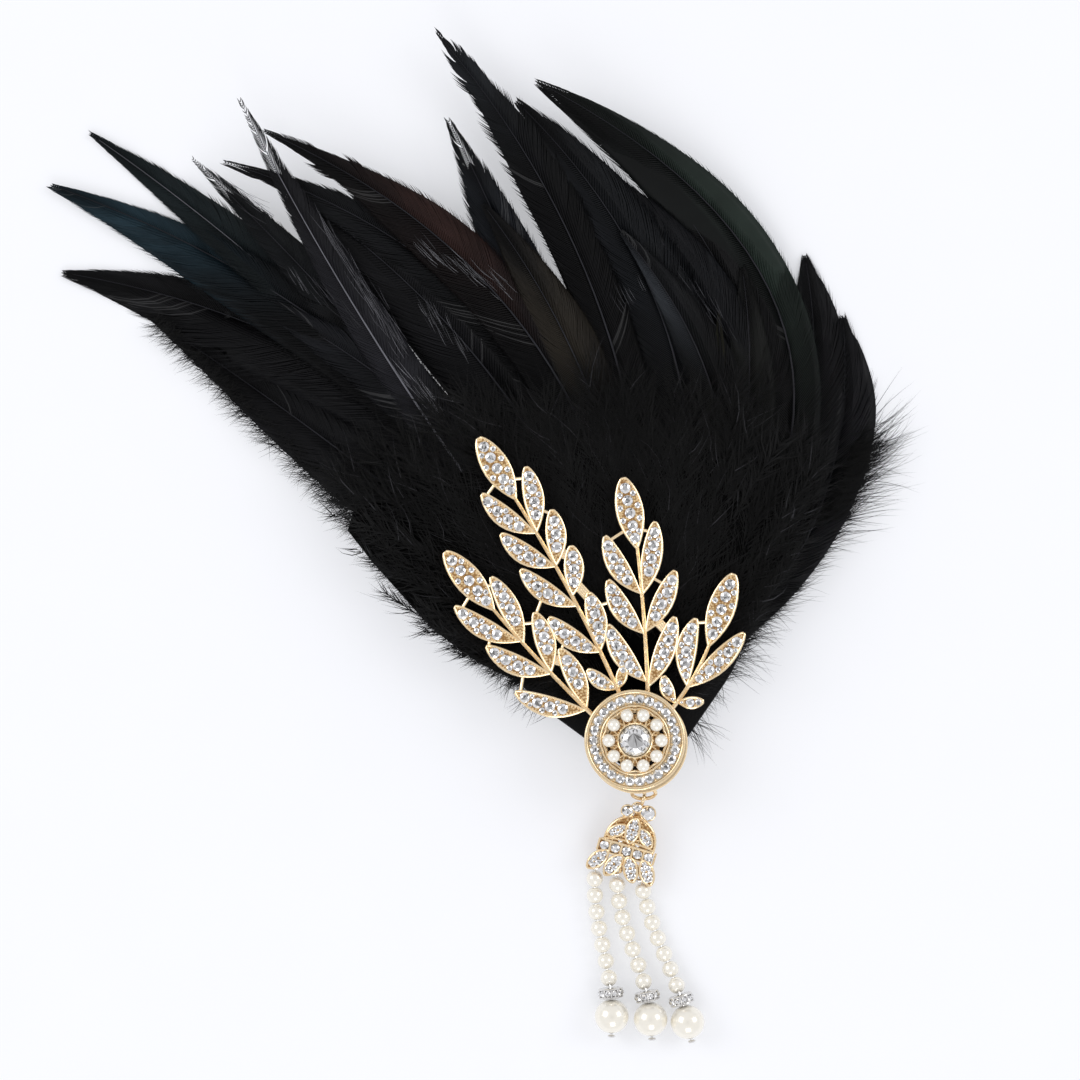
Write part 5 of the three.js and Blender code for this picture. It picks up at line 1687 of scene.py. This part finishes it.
def pearl(name, diameter, segments, bore):
    """A bead on the Z axis. Where it has a bore, its ends are drawn in round the hole."""
    deselect()
    bpy.ops.mesh.primitive_uv_sphere_add(
        segments=segments, ring_count=segments * 2 // 3, radius=diameter / 2 * MM
    )
    obj = added(name)
    if bore:
        limit = math.sqrt((diameter / 2) ** 2 - bore**2) * MM * 0.985
        for corner in obj.data.vertices:
            if abs(corner.co.z) > limit:
                corner.co.z *= 0.9
    return smooth(obj)


RING_RADIUS = 2.75
RING_WIRE = 0.45
RING_TILT = 59


class HAIRCLIP_OT_jump_ring(bpy.types.Operator):
    """Makes the jump ring, a wire ring with a closed cut"""

    bl_idname = "hairclip.jump_ring"
    bl_label = "Jump ring"

    def execute(self, context):
        settings = context.scene.hairclip_ornament
        tilt = math.radians(RING_TILT)
        centre = Vector(EYELET_PLACE) + Vector((0, -math.cos(tilt), -math.sin(tilt))) * RING_RADIUS
        path = []
        for angle in np.linspace(math.radians(3), math.radians(357), 48):
            spot = Vector((math.cos(angle), math.sin(angle), 0)) * RING_RADIUS
            spot = Matrix.Rotation(tilt, 3, "X") @ spot + centre
            path.append(placed(*spot))
        ring = smooth_by_angle(wire("jump_ring_piece", [path], RING_WIRE, 12))
        finished(give(ring, gilt_polish(settings)), ["jump_ring"])
        return {"FINISHED"}


# The cap. Its own plan has its loop at the middle, x to the right and y towards the loop.
CAP_LOOP = (2.2, -14.04, 7.19)
CAP_TURN = -16
CAP_TILT = 9.0
CAP_LENGTH = 20
CAP_WIDTH = 12.2
CAP_THICKNESS = 1.3
CAP_LOW = -CAP_THICKNESS / 2
CAP_TOP = CAP_THICKNESS / 2
PETAL_LENGTH = 6.6
PETAL_WIDTH = 3.5
ROW_LEFT = -0.54 * CAP_WIDTH - 0.3
ROW_RIGHT = 0.54 * CAP_WIDTH - 0.7
ROW_MIDDLE = -0.655 * CAP_LENGTH
ROW_HALF = 1.45
LOOP_RADIUS = 1.2
LUG_HOLE = 0.75
LUG_REACH = 0.86 * CAP_LENGTH
LUG_DEPTH = CAP_THICKNESS / 2 + 0.3 + LUG_HOLE

# Stones of the cap: x in shares of its width, y of its length, diameter in millimetres, cup 1
# where the stone has a cup of its own, 2 where it has a square one.
CapStone = namedtuple("CapStone", "x y diameter cup")
CAP_STONES = (
    CapStone(-0.23, -0.185, 2.5, 1),
    CapStone(-0.07, -0.115, 2.1, 1),
    CapStone(0.16, -0.15, 3.2, 1),
    CapStone(-0.2, -0.545, 1.1, 0),
    CapStone(0.14, -0.545, 1.1, 0),
    CapStone(-0.47, -0.655, 2.1, 2),
    CapStone(-0.25, -0.655, 2.1, 2),
    CapStone(-0.03, -0.655, 2.1, 2),
    CapStone(0.19, -0.655, 2.1, 2),
    CapStone(0.41, -0.655, 2.1, 2),
)
# Petals: turn in degrees from straight down, to the right where positive, rise in millimetres,
# and size in shares of the full petal.
Petal = namedtuple("Petal", "x y turn rise size")
PETALS = (
    Petal(-0.03, -0.39, 0, 0.75, 1),
    Petal(-0.31, -0.44, -50, 0.2, 0.82),
    Petal(0.25, -0.44, 46, 0.2, 0.82),
    Petal(-0.52, -0.835, -33, 0, 1),
    Petal(-0.2, -0.85, -24, 0, 1),
    Petal(0.14, -0.85, 25, 0, 1),
    Petal(0.46, -0.835, 31, 0, 1),
)
# Small stones on a petal: along and across in millimetres from its middle.
PAVE = (
    (-2.15, 0.0),
    (-0.95, 0.66),
    (-0.95, -0.66),
    (0.45, 0.7),
    (0.45, -0.7),
    (1.75, 0.4),
    (1.75, -0.5),
)


def cap_matrix():
    """From the cap's own plan, in metres, to the frame."""
    turn = Matrix.Rotation(math.radians(CAP_TURN), 4, "Z")
    tilt = Matrix.Rotation(math.radians(CAP_TILT), 4, "X")
    return Matrix.Translation(placed(*CAP_LOOP)) @ turn @ tilt


def cap_spot(x, y, z, turn=0.0, size=1.0):
    """A place in the cap's own plan, in millimetres."""
    rotation = Matrix.Rotation(math.radians(turn), 4, "Z")
    return Matrix.Translation(Vector((x, y, z)) * MM) @ rotation @ Matrix.Scale(size, 4)


def petal_edge(petal, inset):
    points = []
    for i in range(28):
        angle = 2 * math.pi * i / 28
        swell = math.sin(angle) * abs(math.sin(angle)) ** 0.3
        x = (PETAL_LENGTH / 2 - inset) * math.cos(angle)
        y = (PETAL_WIDTH / 2 - inset) * swell
        points.append(petal_matrix(petal) @ Vector((x * MM, y * MM, 0)))
    return points


def petal_matrix(petal, z=0.0):
    x, y = petal.x * CAP_WIDTH, petal.y * CAP_LENGTH
    return cap_spot(x, y, z, petal.turn - 90, petal.size)


def fan_edge(inset):
    """The fan's outline in the cap's own plan."""
    points = []
    for angle in np.linspace(0, math.pi, 19):
        x = (CAP_WIDTH * 0.5 - inset) * math.cos(angle) - 0.02 * CAP_WIDTH
        y = CAP_LENGTH * (0.34 * math.sin(angle) ** 0.85 - 0.57) - inset * math.sin(angle)
        points.append((x, y))
    points.append((-CAP_WIDTH * 0.5 + inset, -0.6 * CAP_LENGTH + inset))
    points.append((CAP_WIDTH * 0.47 - inset, -0.6 * CAP_LENGTH + inset))
    return points


def cap_point(x, y, z):
    """A point of the cap's own plan, in millimetres, in metres."""
    return Vector((x, y, z)) * MM


def cap_plates():
    """The cap's grained plates: fan, petals, row and neck."""
    plates = [slab("cap_fan", [metres(fan_edge(0))], CAP_LOW, CAP_TOP - 0.25)]
    for petal in PETALS:
        edge = [tuple(point[:2]) for point in petal_edge(petal, 0.1)]
        plates.append(slab("cap_petal", [edge], CAP_LOW, CAP_TOP - 0.15 + petal.rise))
    row = [(ROW_LEFT, -ROW_HALF), (ROW_RIGHT, -ROW_HALF)]
    row += [(ROW_RIGHT, ROW_HALF), (ROW_LEFT, ROW_HALF)]
    row = metres((x, y + ROW_MIDDLE) for x, y in row)
    plates.append(slab("cap_row", [row], CAP_LOW, CAP_TOP - 0.35))
    neck = metres(((-1.2, -6.5), (1.2, -6.5), (0.9, -1.6), (-0.9, -1.6)))
    plates.append(slab("cap_neck", [neck], CAP_LOW, CAP_TOP - 0.2))
    return plates


def cap_rims():
    """The raised rims of the fan and the petals."""
    rims = [[cap_point(x, y, CAP_TOP - 0.1) for x, y in fan_edge(0.15)]]
    for petal in PETALS:
        lift = cap_point(0, 0, CAP_TOP - 0.1 + petal.rise)
        rims.append([point + lift for point in petal_edge(petal, 0.2)])
    return wire("cap_rims", rims, 0.3, 8, closed=True)


def cap_rails():
    """The wires along the row and between its cups, and the arcs on the fan."""
    rails = []
    for y in (ROW_MIDDLE - ROW_HALF, ROW_MIDDLE + ROW_HALF):
        rails.append([cap_point(x, y, CAP_TOP - 0.1) for x in (ROW_LEFT, ROW_RIGHT)])
    for stone in CAP_STONES:
        if stone.cup == 2:
            for shift in (-0.115, 0.115):
                x = (stone.x + shift) * CAP_WIDTH
                y = stone.y * CAP_LENGTH
                rails.append([cap_point(x, y + k * ROW_HALF, CAP_TOP - 0.1) for k in (-1, 1)])
    band = []
    for share in np.linspace(-1, 1, 13):
        x = CAP_WIDTH * (0.5 * share - 0.02)
        band.append(cap_point(x, CAP_LENGTH * (-0.53 - 0.035 * share**2), CAP_TOP + 0.1))
    rails.append(band)
    for side in (-1, 1):
        arc = []
        for share in np.linspace(0, 1, 7):
            x = CAP_WIDTH * (side * (0.1 + 0.3 * share) - 0.02)
            arc.append(cap_point(x, CAP_LENGTH * (-0.5 + 0.02 * math.sin(share * 3)), CAP_TOP))
        rails.append(arc)
    return wire("cap_rails", rails, 0.26, 8)


def cap_cups():
    """The round cups of the cluster."""
    cups = []
    for stone in CAP_STONES:
        if stone.cup == 1:
            radius = stone.diameter / 2
            profile = [(0, CAP_LOW), (radius + 0.1, CAP_LOW), (radius + 0.35, CAP_TOP)]
            profile += [(radius + 0.2, CAP_TOP + 0.3), (radius, CAP_TOP + 0.2)]
            profile += [(radius - 0.1, CAP_TOP - 0.2), (0, CAP_TOP - 0.2)]
            cup = spun("cap_cup", profile, 32)
            cup.data.transform(cap_spot(stone.x * CAP_WIDTH, stone.y * CAP_LENGTH, 0))
            cups.append(cup)
    return cups


def cap_loops():
    """The loop at the top and the three lugs for the strands."""
    rows = [((0, 0, 0), LOOP_RADIUS, 0.0)]
    for strand in STRANDS:
        place = (strand.x * CAP_WIDTH, -LUG_REACH, -LUG_DEPTH)
        rows.append((place, LUG_HOLE + 0.4, strand.aim - CAP_TURN))
    loops = []
    for place, radius, turn in rows:
        upright = (0, math.pi / 2, math.radians(turn))
        loops.append(torus("cap_loop", radius, 0.4, 24, 8, Vector(place) * MM, upright))
    return loops


def cap_grains():
    """Three grains round each stone that has no square cup."""
    beads = []
    for stone in CAP_STONES:
        if stone.cup != 2:
            for angle in (30, 150, 270):
                x, y = around(stone.diameter / 2 + 0.1, math.radians(angle))
                x, y = stone.x * CAP_WIDTH + x, stone.y * CAP_LENGTH + y
                beads.append(cap_spot(x, y, CAP_TOP + 0.15))
    return scattered("cap_grains", bead("grain", 0.5), beads)


def cap_brilliants(random):
    """The cut stones of the cluster, the row and the petals."""
    spots = []
    for stone in CAP_STONES:
        x, y = stone.x * CAP_WIDTH, stone.y * CAP_LENGTH
        level = CAP_TOP + (0.3 if stone.cup == 1 else 0.05)
        spots.append(cap_spot(x, y, level, random.uniform(0, 360), stone.diameter / 2))
    for petal in PETALS:
        for along, across in PAVE:
            local = Matrix.Translation((along * MM, across * MM, 0))
            middle = petal_matrix(petal, CAP_TOP + petal.rise)
            spots.append(middle @ local @ Matrix.Scale(0.7, 4))
    cut = scattered("cap_stones", brilliant("stone", 2.0, 0.3, 0.5), spots)
    return shaded_facets(cut, random, 0.38)


class HAIRCLIP_OT_tassel_cap(bpy.types.Operator):
    """Makes the tassel cap: cluster, fan, row of square cups, petals and loops"""

    bl_idname = "hairclip.tassel_cap"
    bl_label = "Tassel cap"

    def execute(self, context):
        settings = context.scene.hairclip_ornament
        plates = cap_plates()
        bright = [cap_rims(), cap_rails(), *cap_cups(), *cap_loops(), cap_grains()]
        cut = cap_brilliants(np.random.default_rng(51))
        for name, parts, material, slot in (
            ("tassel_cap_rims", bright, gilt_polish(settings), "gilt"),
            ("tassel_cap_plates", plates, gilt_bed(settings), "gilt"),
            ("tassel_cap_stones", [cut], crystal(settings), "crystal"),
        ):
            piece = joined(name, parts)
            piece.data.transform(cap_matrix())
            if slot == "gilt":
                smooth_by_angle(piece, 45)
            finished(give(piece, material), ["tassel_cap"])
        return {"FINISHED"}


# Strands: x is the lug's place in shares of the cap's width, aim the direction in degrees from
# straight down, sway the size of the S bend in shares of the strand's length.
Strand = namedtuple("Strand", "name x aim sway")
STRANDS = (
    Strand("left", -0.56, 5, 0.02),
    Strand("middle", -0.15, 11.5, 0.024),
    Strand("right", 0.31, 17.1, 0.015),
)
STRAND_PEARLS = 7
PEARL_PITCH = 3.9
STRAND_WIRE = 0.8
RONDELLE_THICKNESS = 2.3
RONDELLE_STONES = 10
PIN_HEAD = 2.1
SEAT_GAP = 0.3


class StrandRoute:
    """A strand's route and the places of what is strung on it."""

    def __init__(self, strand, settings):
        pearl_size = settings.pearl_diameter / MM
        drop_size = settings.drop_diameter / MM
        lug = Vector((strand.x * CAP_WIDTH, -LUG_REACH, -LUG_DEPTH)) * MM
        lug = cap_matrix() @ lug
        self.lug = np.array(lug) / MM
        self.strand = strand
        self.ring_reach = 1.2
        self.first = 2 * self.ring_reach + (pearl_size + STRAND_WIRE) / 2
        last = self.first + PEARL_PITCH * (STRAND_PEARLS - 1)
        self.rondelle = last + (pearl_size + RONDELLE_THICKNESS) / 2 + SEAT_GAP
        self.drop = self.rondelle + (RONDELLE_THICKNESS + drop_size) / 2 + SEAT_GAP
        self.end = self.drop + drop_size / 2 + SEAT_GAP + PIN_HEAD / 2
        low, high = pearl_size / 2, drop_size / 2
        self.heights = (
            (2 * self.ring_reach, self.lug[2]),
            (self.first + PEARL_PITCH, low),
            (last - PEARL_PITCH, low),
            (self.rondelle - RONDELLE_THICKNESS / 2, high),
            (self.end, high),
        )

    def height(self, distance):
        before = self.heights[0]
        for row in self.heights:
            if row[0] >= distance:
                break
            before = row
        if row is before or row[0] == before[0]:
            return row[1]
        share = min(max((distance - before[0]) / (row[0] - before[0]), 0), 1)
        share = share * share * (3 - 2 * share)
        return before[1] + (row[1] - before[1]) * share

    def point(self, distance):
        share = distance / self.end
        angle = math.radians(self.strand.aim - 90)
        sway = -self.strand.sway * self.end * math.sin(2 * math.pi * share)
        side = math.radians(self.strand.aim)
        x = self.lug[0] + distance * math.cos(angle) + sway * math.cos(side)
        y = self.lug[1] + distance * math.sin(angle) + sway * math.sin(side)
        return Vector((x, y, self.height(distance))) * MM

    def matrix(self, distance, spin=0.0, size=1.0):
        """Places a bead whose bore runs along Z."""
        here = self.point(distance)
        ahead = (self.point(distance + 0.05) - here).normalized()
        turn = ahead.to_track_quat("Z", "Y").to_matrix().to_4x4()
        around = Matrix.Rotation(math.radians(spin), 4, "Z")
        return Matrix.Translation(here) @ turn @ around @ Matrix.Scale(size, 4)


def rondelle(radius):
    """The metal of a ring of stones on the Z axis, and where its stones sit."""
    half = RONDELLE_THICKNESS / 2
    cheeks = []
    for low, high in ((-half, -half + 0.45), (half - 0.45, half)):
        edge, middle = radius - 0.25, (low + high) / 2
        profile = [(0.75, low), (radius - 0.45, low), (edge, middle - 0.12)]
        profile += [(edge, middle + 0.12), (radius - 0.45, high), (0.75, high)]
        cheeks.append(spun("rondelle_cheek", profile, 40))
    hub, level = radius - 1.0, half - 0.2
    profile = [(0.72, -level), (hub, -level), (hub, level), (0.72, level)]
    cheeks.append(spun("rondelle_hub", profile, 40))
    posts = []
    stones = []
    for i in range(RONDELLE_STONES):
        angle = 360 * i / RONDELLE_STONES
        across = Matrix.Rotation(math.radians(angle), 4, "Z")
        out = Matrix.Rotation(math.pi / 2, 4, "Y")
        reach = Matrix.Translation(((radius - 0.55) * MM, 0, 0))
        stones.append(across @ reach @ out @ Matrix.Scale(0.78, 4))
        between = Matrix.Rotation(math.radians(angle + 180 / RONDELLE_STONES), 4, "Z")
        posts.append(between @ Matrix.Translation(((radius - 0.4) * MM, 0, 0)))
    deselect()
    bpy.ops.mesh.primitive_cylinder_add(
        vertices=8, radius=0.2 * MM, depth=RONDELLE_THICKNESS * 0.8 * MM
    )
    cheeks.append(scattered("rondelle_posts", added("post"), posts))
    return cheeks, stones


class HAIRCLIP_OT_strands(bpy.types.Operator):
    """Makes the three strands: wire, pearls, rondelles with stones, drop pearls and pins"""

    bl_idname = "hairclip.strands"
    bl_label = "Pearl strands"

    def execute(self, context):
        settings = context.scene.hairclip_tassel
        ornament = context.scene.hairclip_ornament
        random = np.random.default_rng(61)
        pearl_size = settings.pearl_diameter / MM
        drop_size = settings.drop_diameter / MM
        ivory, silver = pearl_material(settings), silver_material(settings)
        for strand in STRANDS:
            route = StrandRoute(strand, settings)
            spots = []
            for i in range(STRAND_PEARLS):
                distance = route.first + i * PEARL_PITCH
                spots.append(route.matrix(distance, random.uniform(0, 90), 0.985))
            small = pearl("pearl", pearl_size, 30, 0.55)
            beads = scattered("strand_pearls_" + strand.name, small, spots)
            finished(give(beads, ivory), ["pearl_strand_" + strand.name])

            big = pearl("drop_pearl_piece_" + strand.name, drop_size, 60, 0.8)
            big.data.transform(route.matrix(route.drop))
            finished(give(big, ivory), ["drop_pearl_" + strand.name])

            path = [route.point(d) for d in np.linspace(1.4, route.end - 0.6, 60)]
            parts = [wire("strand_wire", [path], 0.3, 8)]
            middle = (*route.point(route.ring_reach)[:2], route.lug[2] * MM)
            parts.append(torus("strand_ring", route.ring_reach, 0.4, 24, 8, middle))
            profile = [(0, -0.35), (0.8, -0.35), (1.05, -0.15)]
            profile += [(1.05, 0.1), (0.75, 0.35), (0, 0.45)]
            head = spun("pin_head", profile, 24)
            head.data.transform(route.matrix(route.end - 0.75, 0, 0.85))
            parts.append(head)
            metal = smooth_by_angle(joined("strand_metal_" + strand.name, parts), 40)
            finished(give(metal, silver), ["pearl_strand_" + strand.name])

            cheeks, stones = rondelle(settings.rondelle_diameter / MM / 2)
            body = smooth_by_angle(joined("rondelle_metal_" + strand.name, cheeks), 40)
            turn = route.matrix(route.rondelle, random.uniform(0, 36))
            body.data.transform(turn)
            finished(give(body, silver), ["rondelle_" + strand.name])
            stone = brilliant("stone", 2.0, 0.6, 0.5)
            cut = scattered("rondelle_stones_" + strand.name, stone, stones)
            cut.data.transform(turn)
            shaded_facets(cut, random, 0.3)
            finished(give(cut, crystal(ornament)), ["rondelle_" + strand.name])
        return {"FINISHED"}


# Stage

VIEW_WIDTH = 251.2
VIEW_CENTRE = (-20.16, 21.8)
VIEW_LEVEL = 10
LENS = 150
SENSOR = 36
# Softboxes: place and size in metres, power in watts. All face the middle of the floor.
Softbox = namedtuple("Softbox", "name place size power")
SOFTBOXES = (
    Softbox("Softbox left", (-0.95, 0.35, 0.85), 0.7, 3.6),
    Softbox("Softbox right", (0.9, 0.3, 0.75), 0.55, 2.3),
    Softbox("Softbox front", (0.1, -0.95, 0.7), 0.5, 2.0),
)


class HAIRCLIP_OT_stage(bpy.types.Operator):
    """Makes the floor, the lights and the camera"""

    bl_idname = "hairclip.stage"
    bl_label = "Stage"

    def execute(self, context):
        scene = context.scene
        deselect()
        bpy.ops.mesh.primitive_plane_add(size=8)
        floor = added("studio_floor")
        paper, tree, shader = new_material(
            "White paper",
            Roughness=0.9,
            Specular_IOR_Level=0.1,
            Emission_Color=linear("#f8f9fc"),
            Emission_Strength=0.42,
        )
        coloured(tree, shader, cloud(tree, 40, 2.0), linear("#c3c4c7"), linear("#c5c6c9"))
        give(floor, paper)

        world = bpy.data.worlds.new("Studio")
        world.use_nodes = True
        tree = world.node_tree
        place = add_node(tree, "ShaderNodeTexCoord")
        parts = add_node(tree, "ShaderNodeSeparateXYZ", {}, {"Vector": place.outputs["Generated"]})
        ramp = add_node(tree, "ShaderNodeValToRGB", {}, {"Fac": parts.outputs["Z"]})
        steps = ramp.color_ramp.elements
        steps[0].position = 0.0
        steps[0].color = (0.93, 0.95, 1.0, 1)
        steps[1].position = 1.0
        steps[1].color = (0.5, 0.5, 0.51, 1)
        for position, value in ((0.6, 0.95), (0.9, 0.9), (0.975, 0.86)):
            ramp.color_ramp.elements.new(position).color = (value, value, value * 1.03, 1)
        background = tree.nodes["Background"]
        tree.links.new(ramp.outputs["Color"], background.inputs["Color"])
        background.inputs["Strength"].default_value = 0.81
        scene.world = world

        for box in SOFTBOXES:
            light = bpy.data.lights.new(box.name, "AREA")
            light.shape = "SQUARE"
            light.size = box.size
            light.energy = box.power
            lamp = bpy.data.objects.new(box.name, light)
            lamp.location = box.place
            lamp.rotation_euler = (-Vector(box.place)).to_track_quat("-Z", "Y").to_euler()
            lamp.visible_camera = False
            scene.collection.objects.link(lamp)

        camera = bpy.data.cameras.new("Camera")
        camera.lens = LENS
        camera.sensor_width = SENSOR
        viewer = bpy.data.objects.new("Camera", camera)
        distance = VIEW_WIDTH * LENS / SENSOR
        x, y = VIEW_CENTRE
        viewer.location = Vector((x, y, VIEW_LEVEL + distance)) * MM
        scene.collection.objects.link(viewer)
        scene.camera = viewer
        scene.view_settings.view_transform = "Standard"
        return {"FINISHED"}


class HAIRCLIP_PT_panel(bpy.types.Panel):
    """Lists the steps that dress the hair clip"""

    bl_idname = "HAIRCLIP_PT_panel"
    bl_label = "Hair clip"
    bl_space_type = "VIEW_3D"
    bl_region_type = "UI"
    bl_category = "Hair clip"

    def draw(self, context):
        for operator in OPERATORS:
            self.layout.operator(operator.bl_idname)
        for group in GROUPS:
            settings = getattr(context.scene, group)
            for name in settings.__annotations__:
                self.layout.prop(settings, name)


GROUPS = {
    "hairclip_plume": PlumeSettings,
    "hairclip_ornament": OrnamentSettings,
    "hairclip_tassel": TasselSettings,
}
OPERATORS = (
    HAIRCLIP_OT_stage,
    HAIRCLIP_OT_hair_clip,
    HAIRCLIP_OT_felt_backing,
    HAIRCLIP_OT_long_feathers,
    HAIRCLIP_OT_down,
    HAIRCLIP_OT_leaf_sprays,
    HAIRCLIP_OT_leaf_stones,
    HAIRCLIP_OT_medallion,
    HAIRCLIP_OT_rosette,
    HAIRCLIP_OT_jump_ring,
    HAIRCLIP_OT_tassel_cap,
    HAIRCLIP_OT_strands,
)


def register():
    for group in (*GROUPS.values(), *OPERATORS, HAIRCLIP_PT_panel):
        bpy.utils.register_class(group)
    for name, group in GROUPS.items():
        setattr(bpy.types.Scene, name, PointerProperty(type=group))


def unregister():
    for name in GROUPS:
        delattr(bpy.types.Scene, name)
    for group in (HAIRCLIP_PT_panel, *OPERATORS, *GROUPS.values()):
        bpy.utils.unregister_class(group)


def main():
    register()
    for operator in OPERATORS:
        group, name = operator.bl_idname.split(".")
        getattr(getattr(bpy.ops, group), name)()


if __name__ == "__main__":
    main()
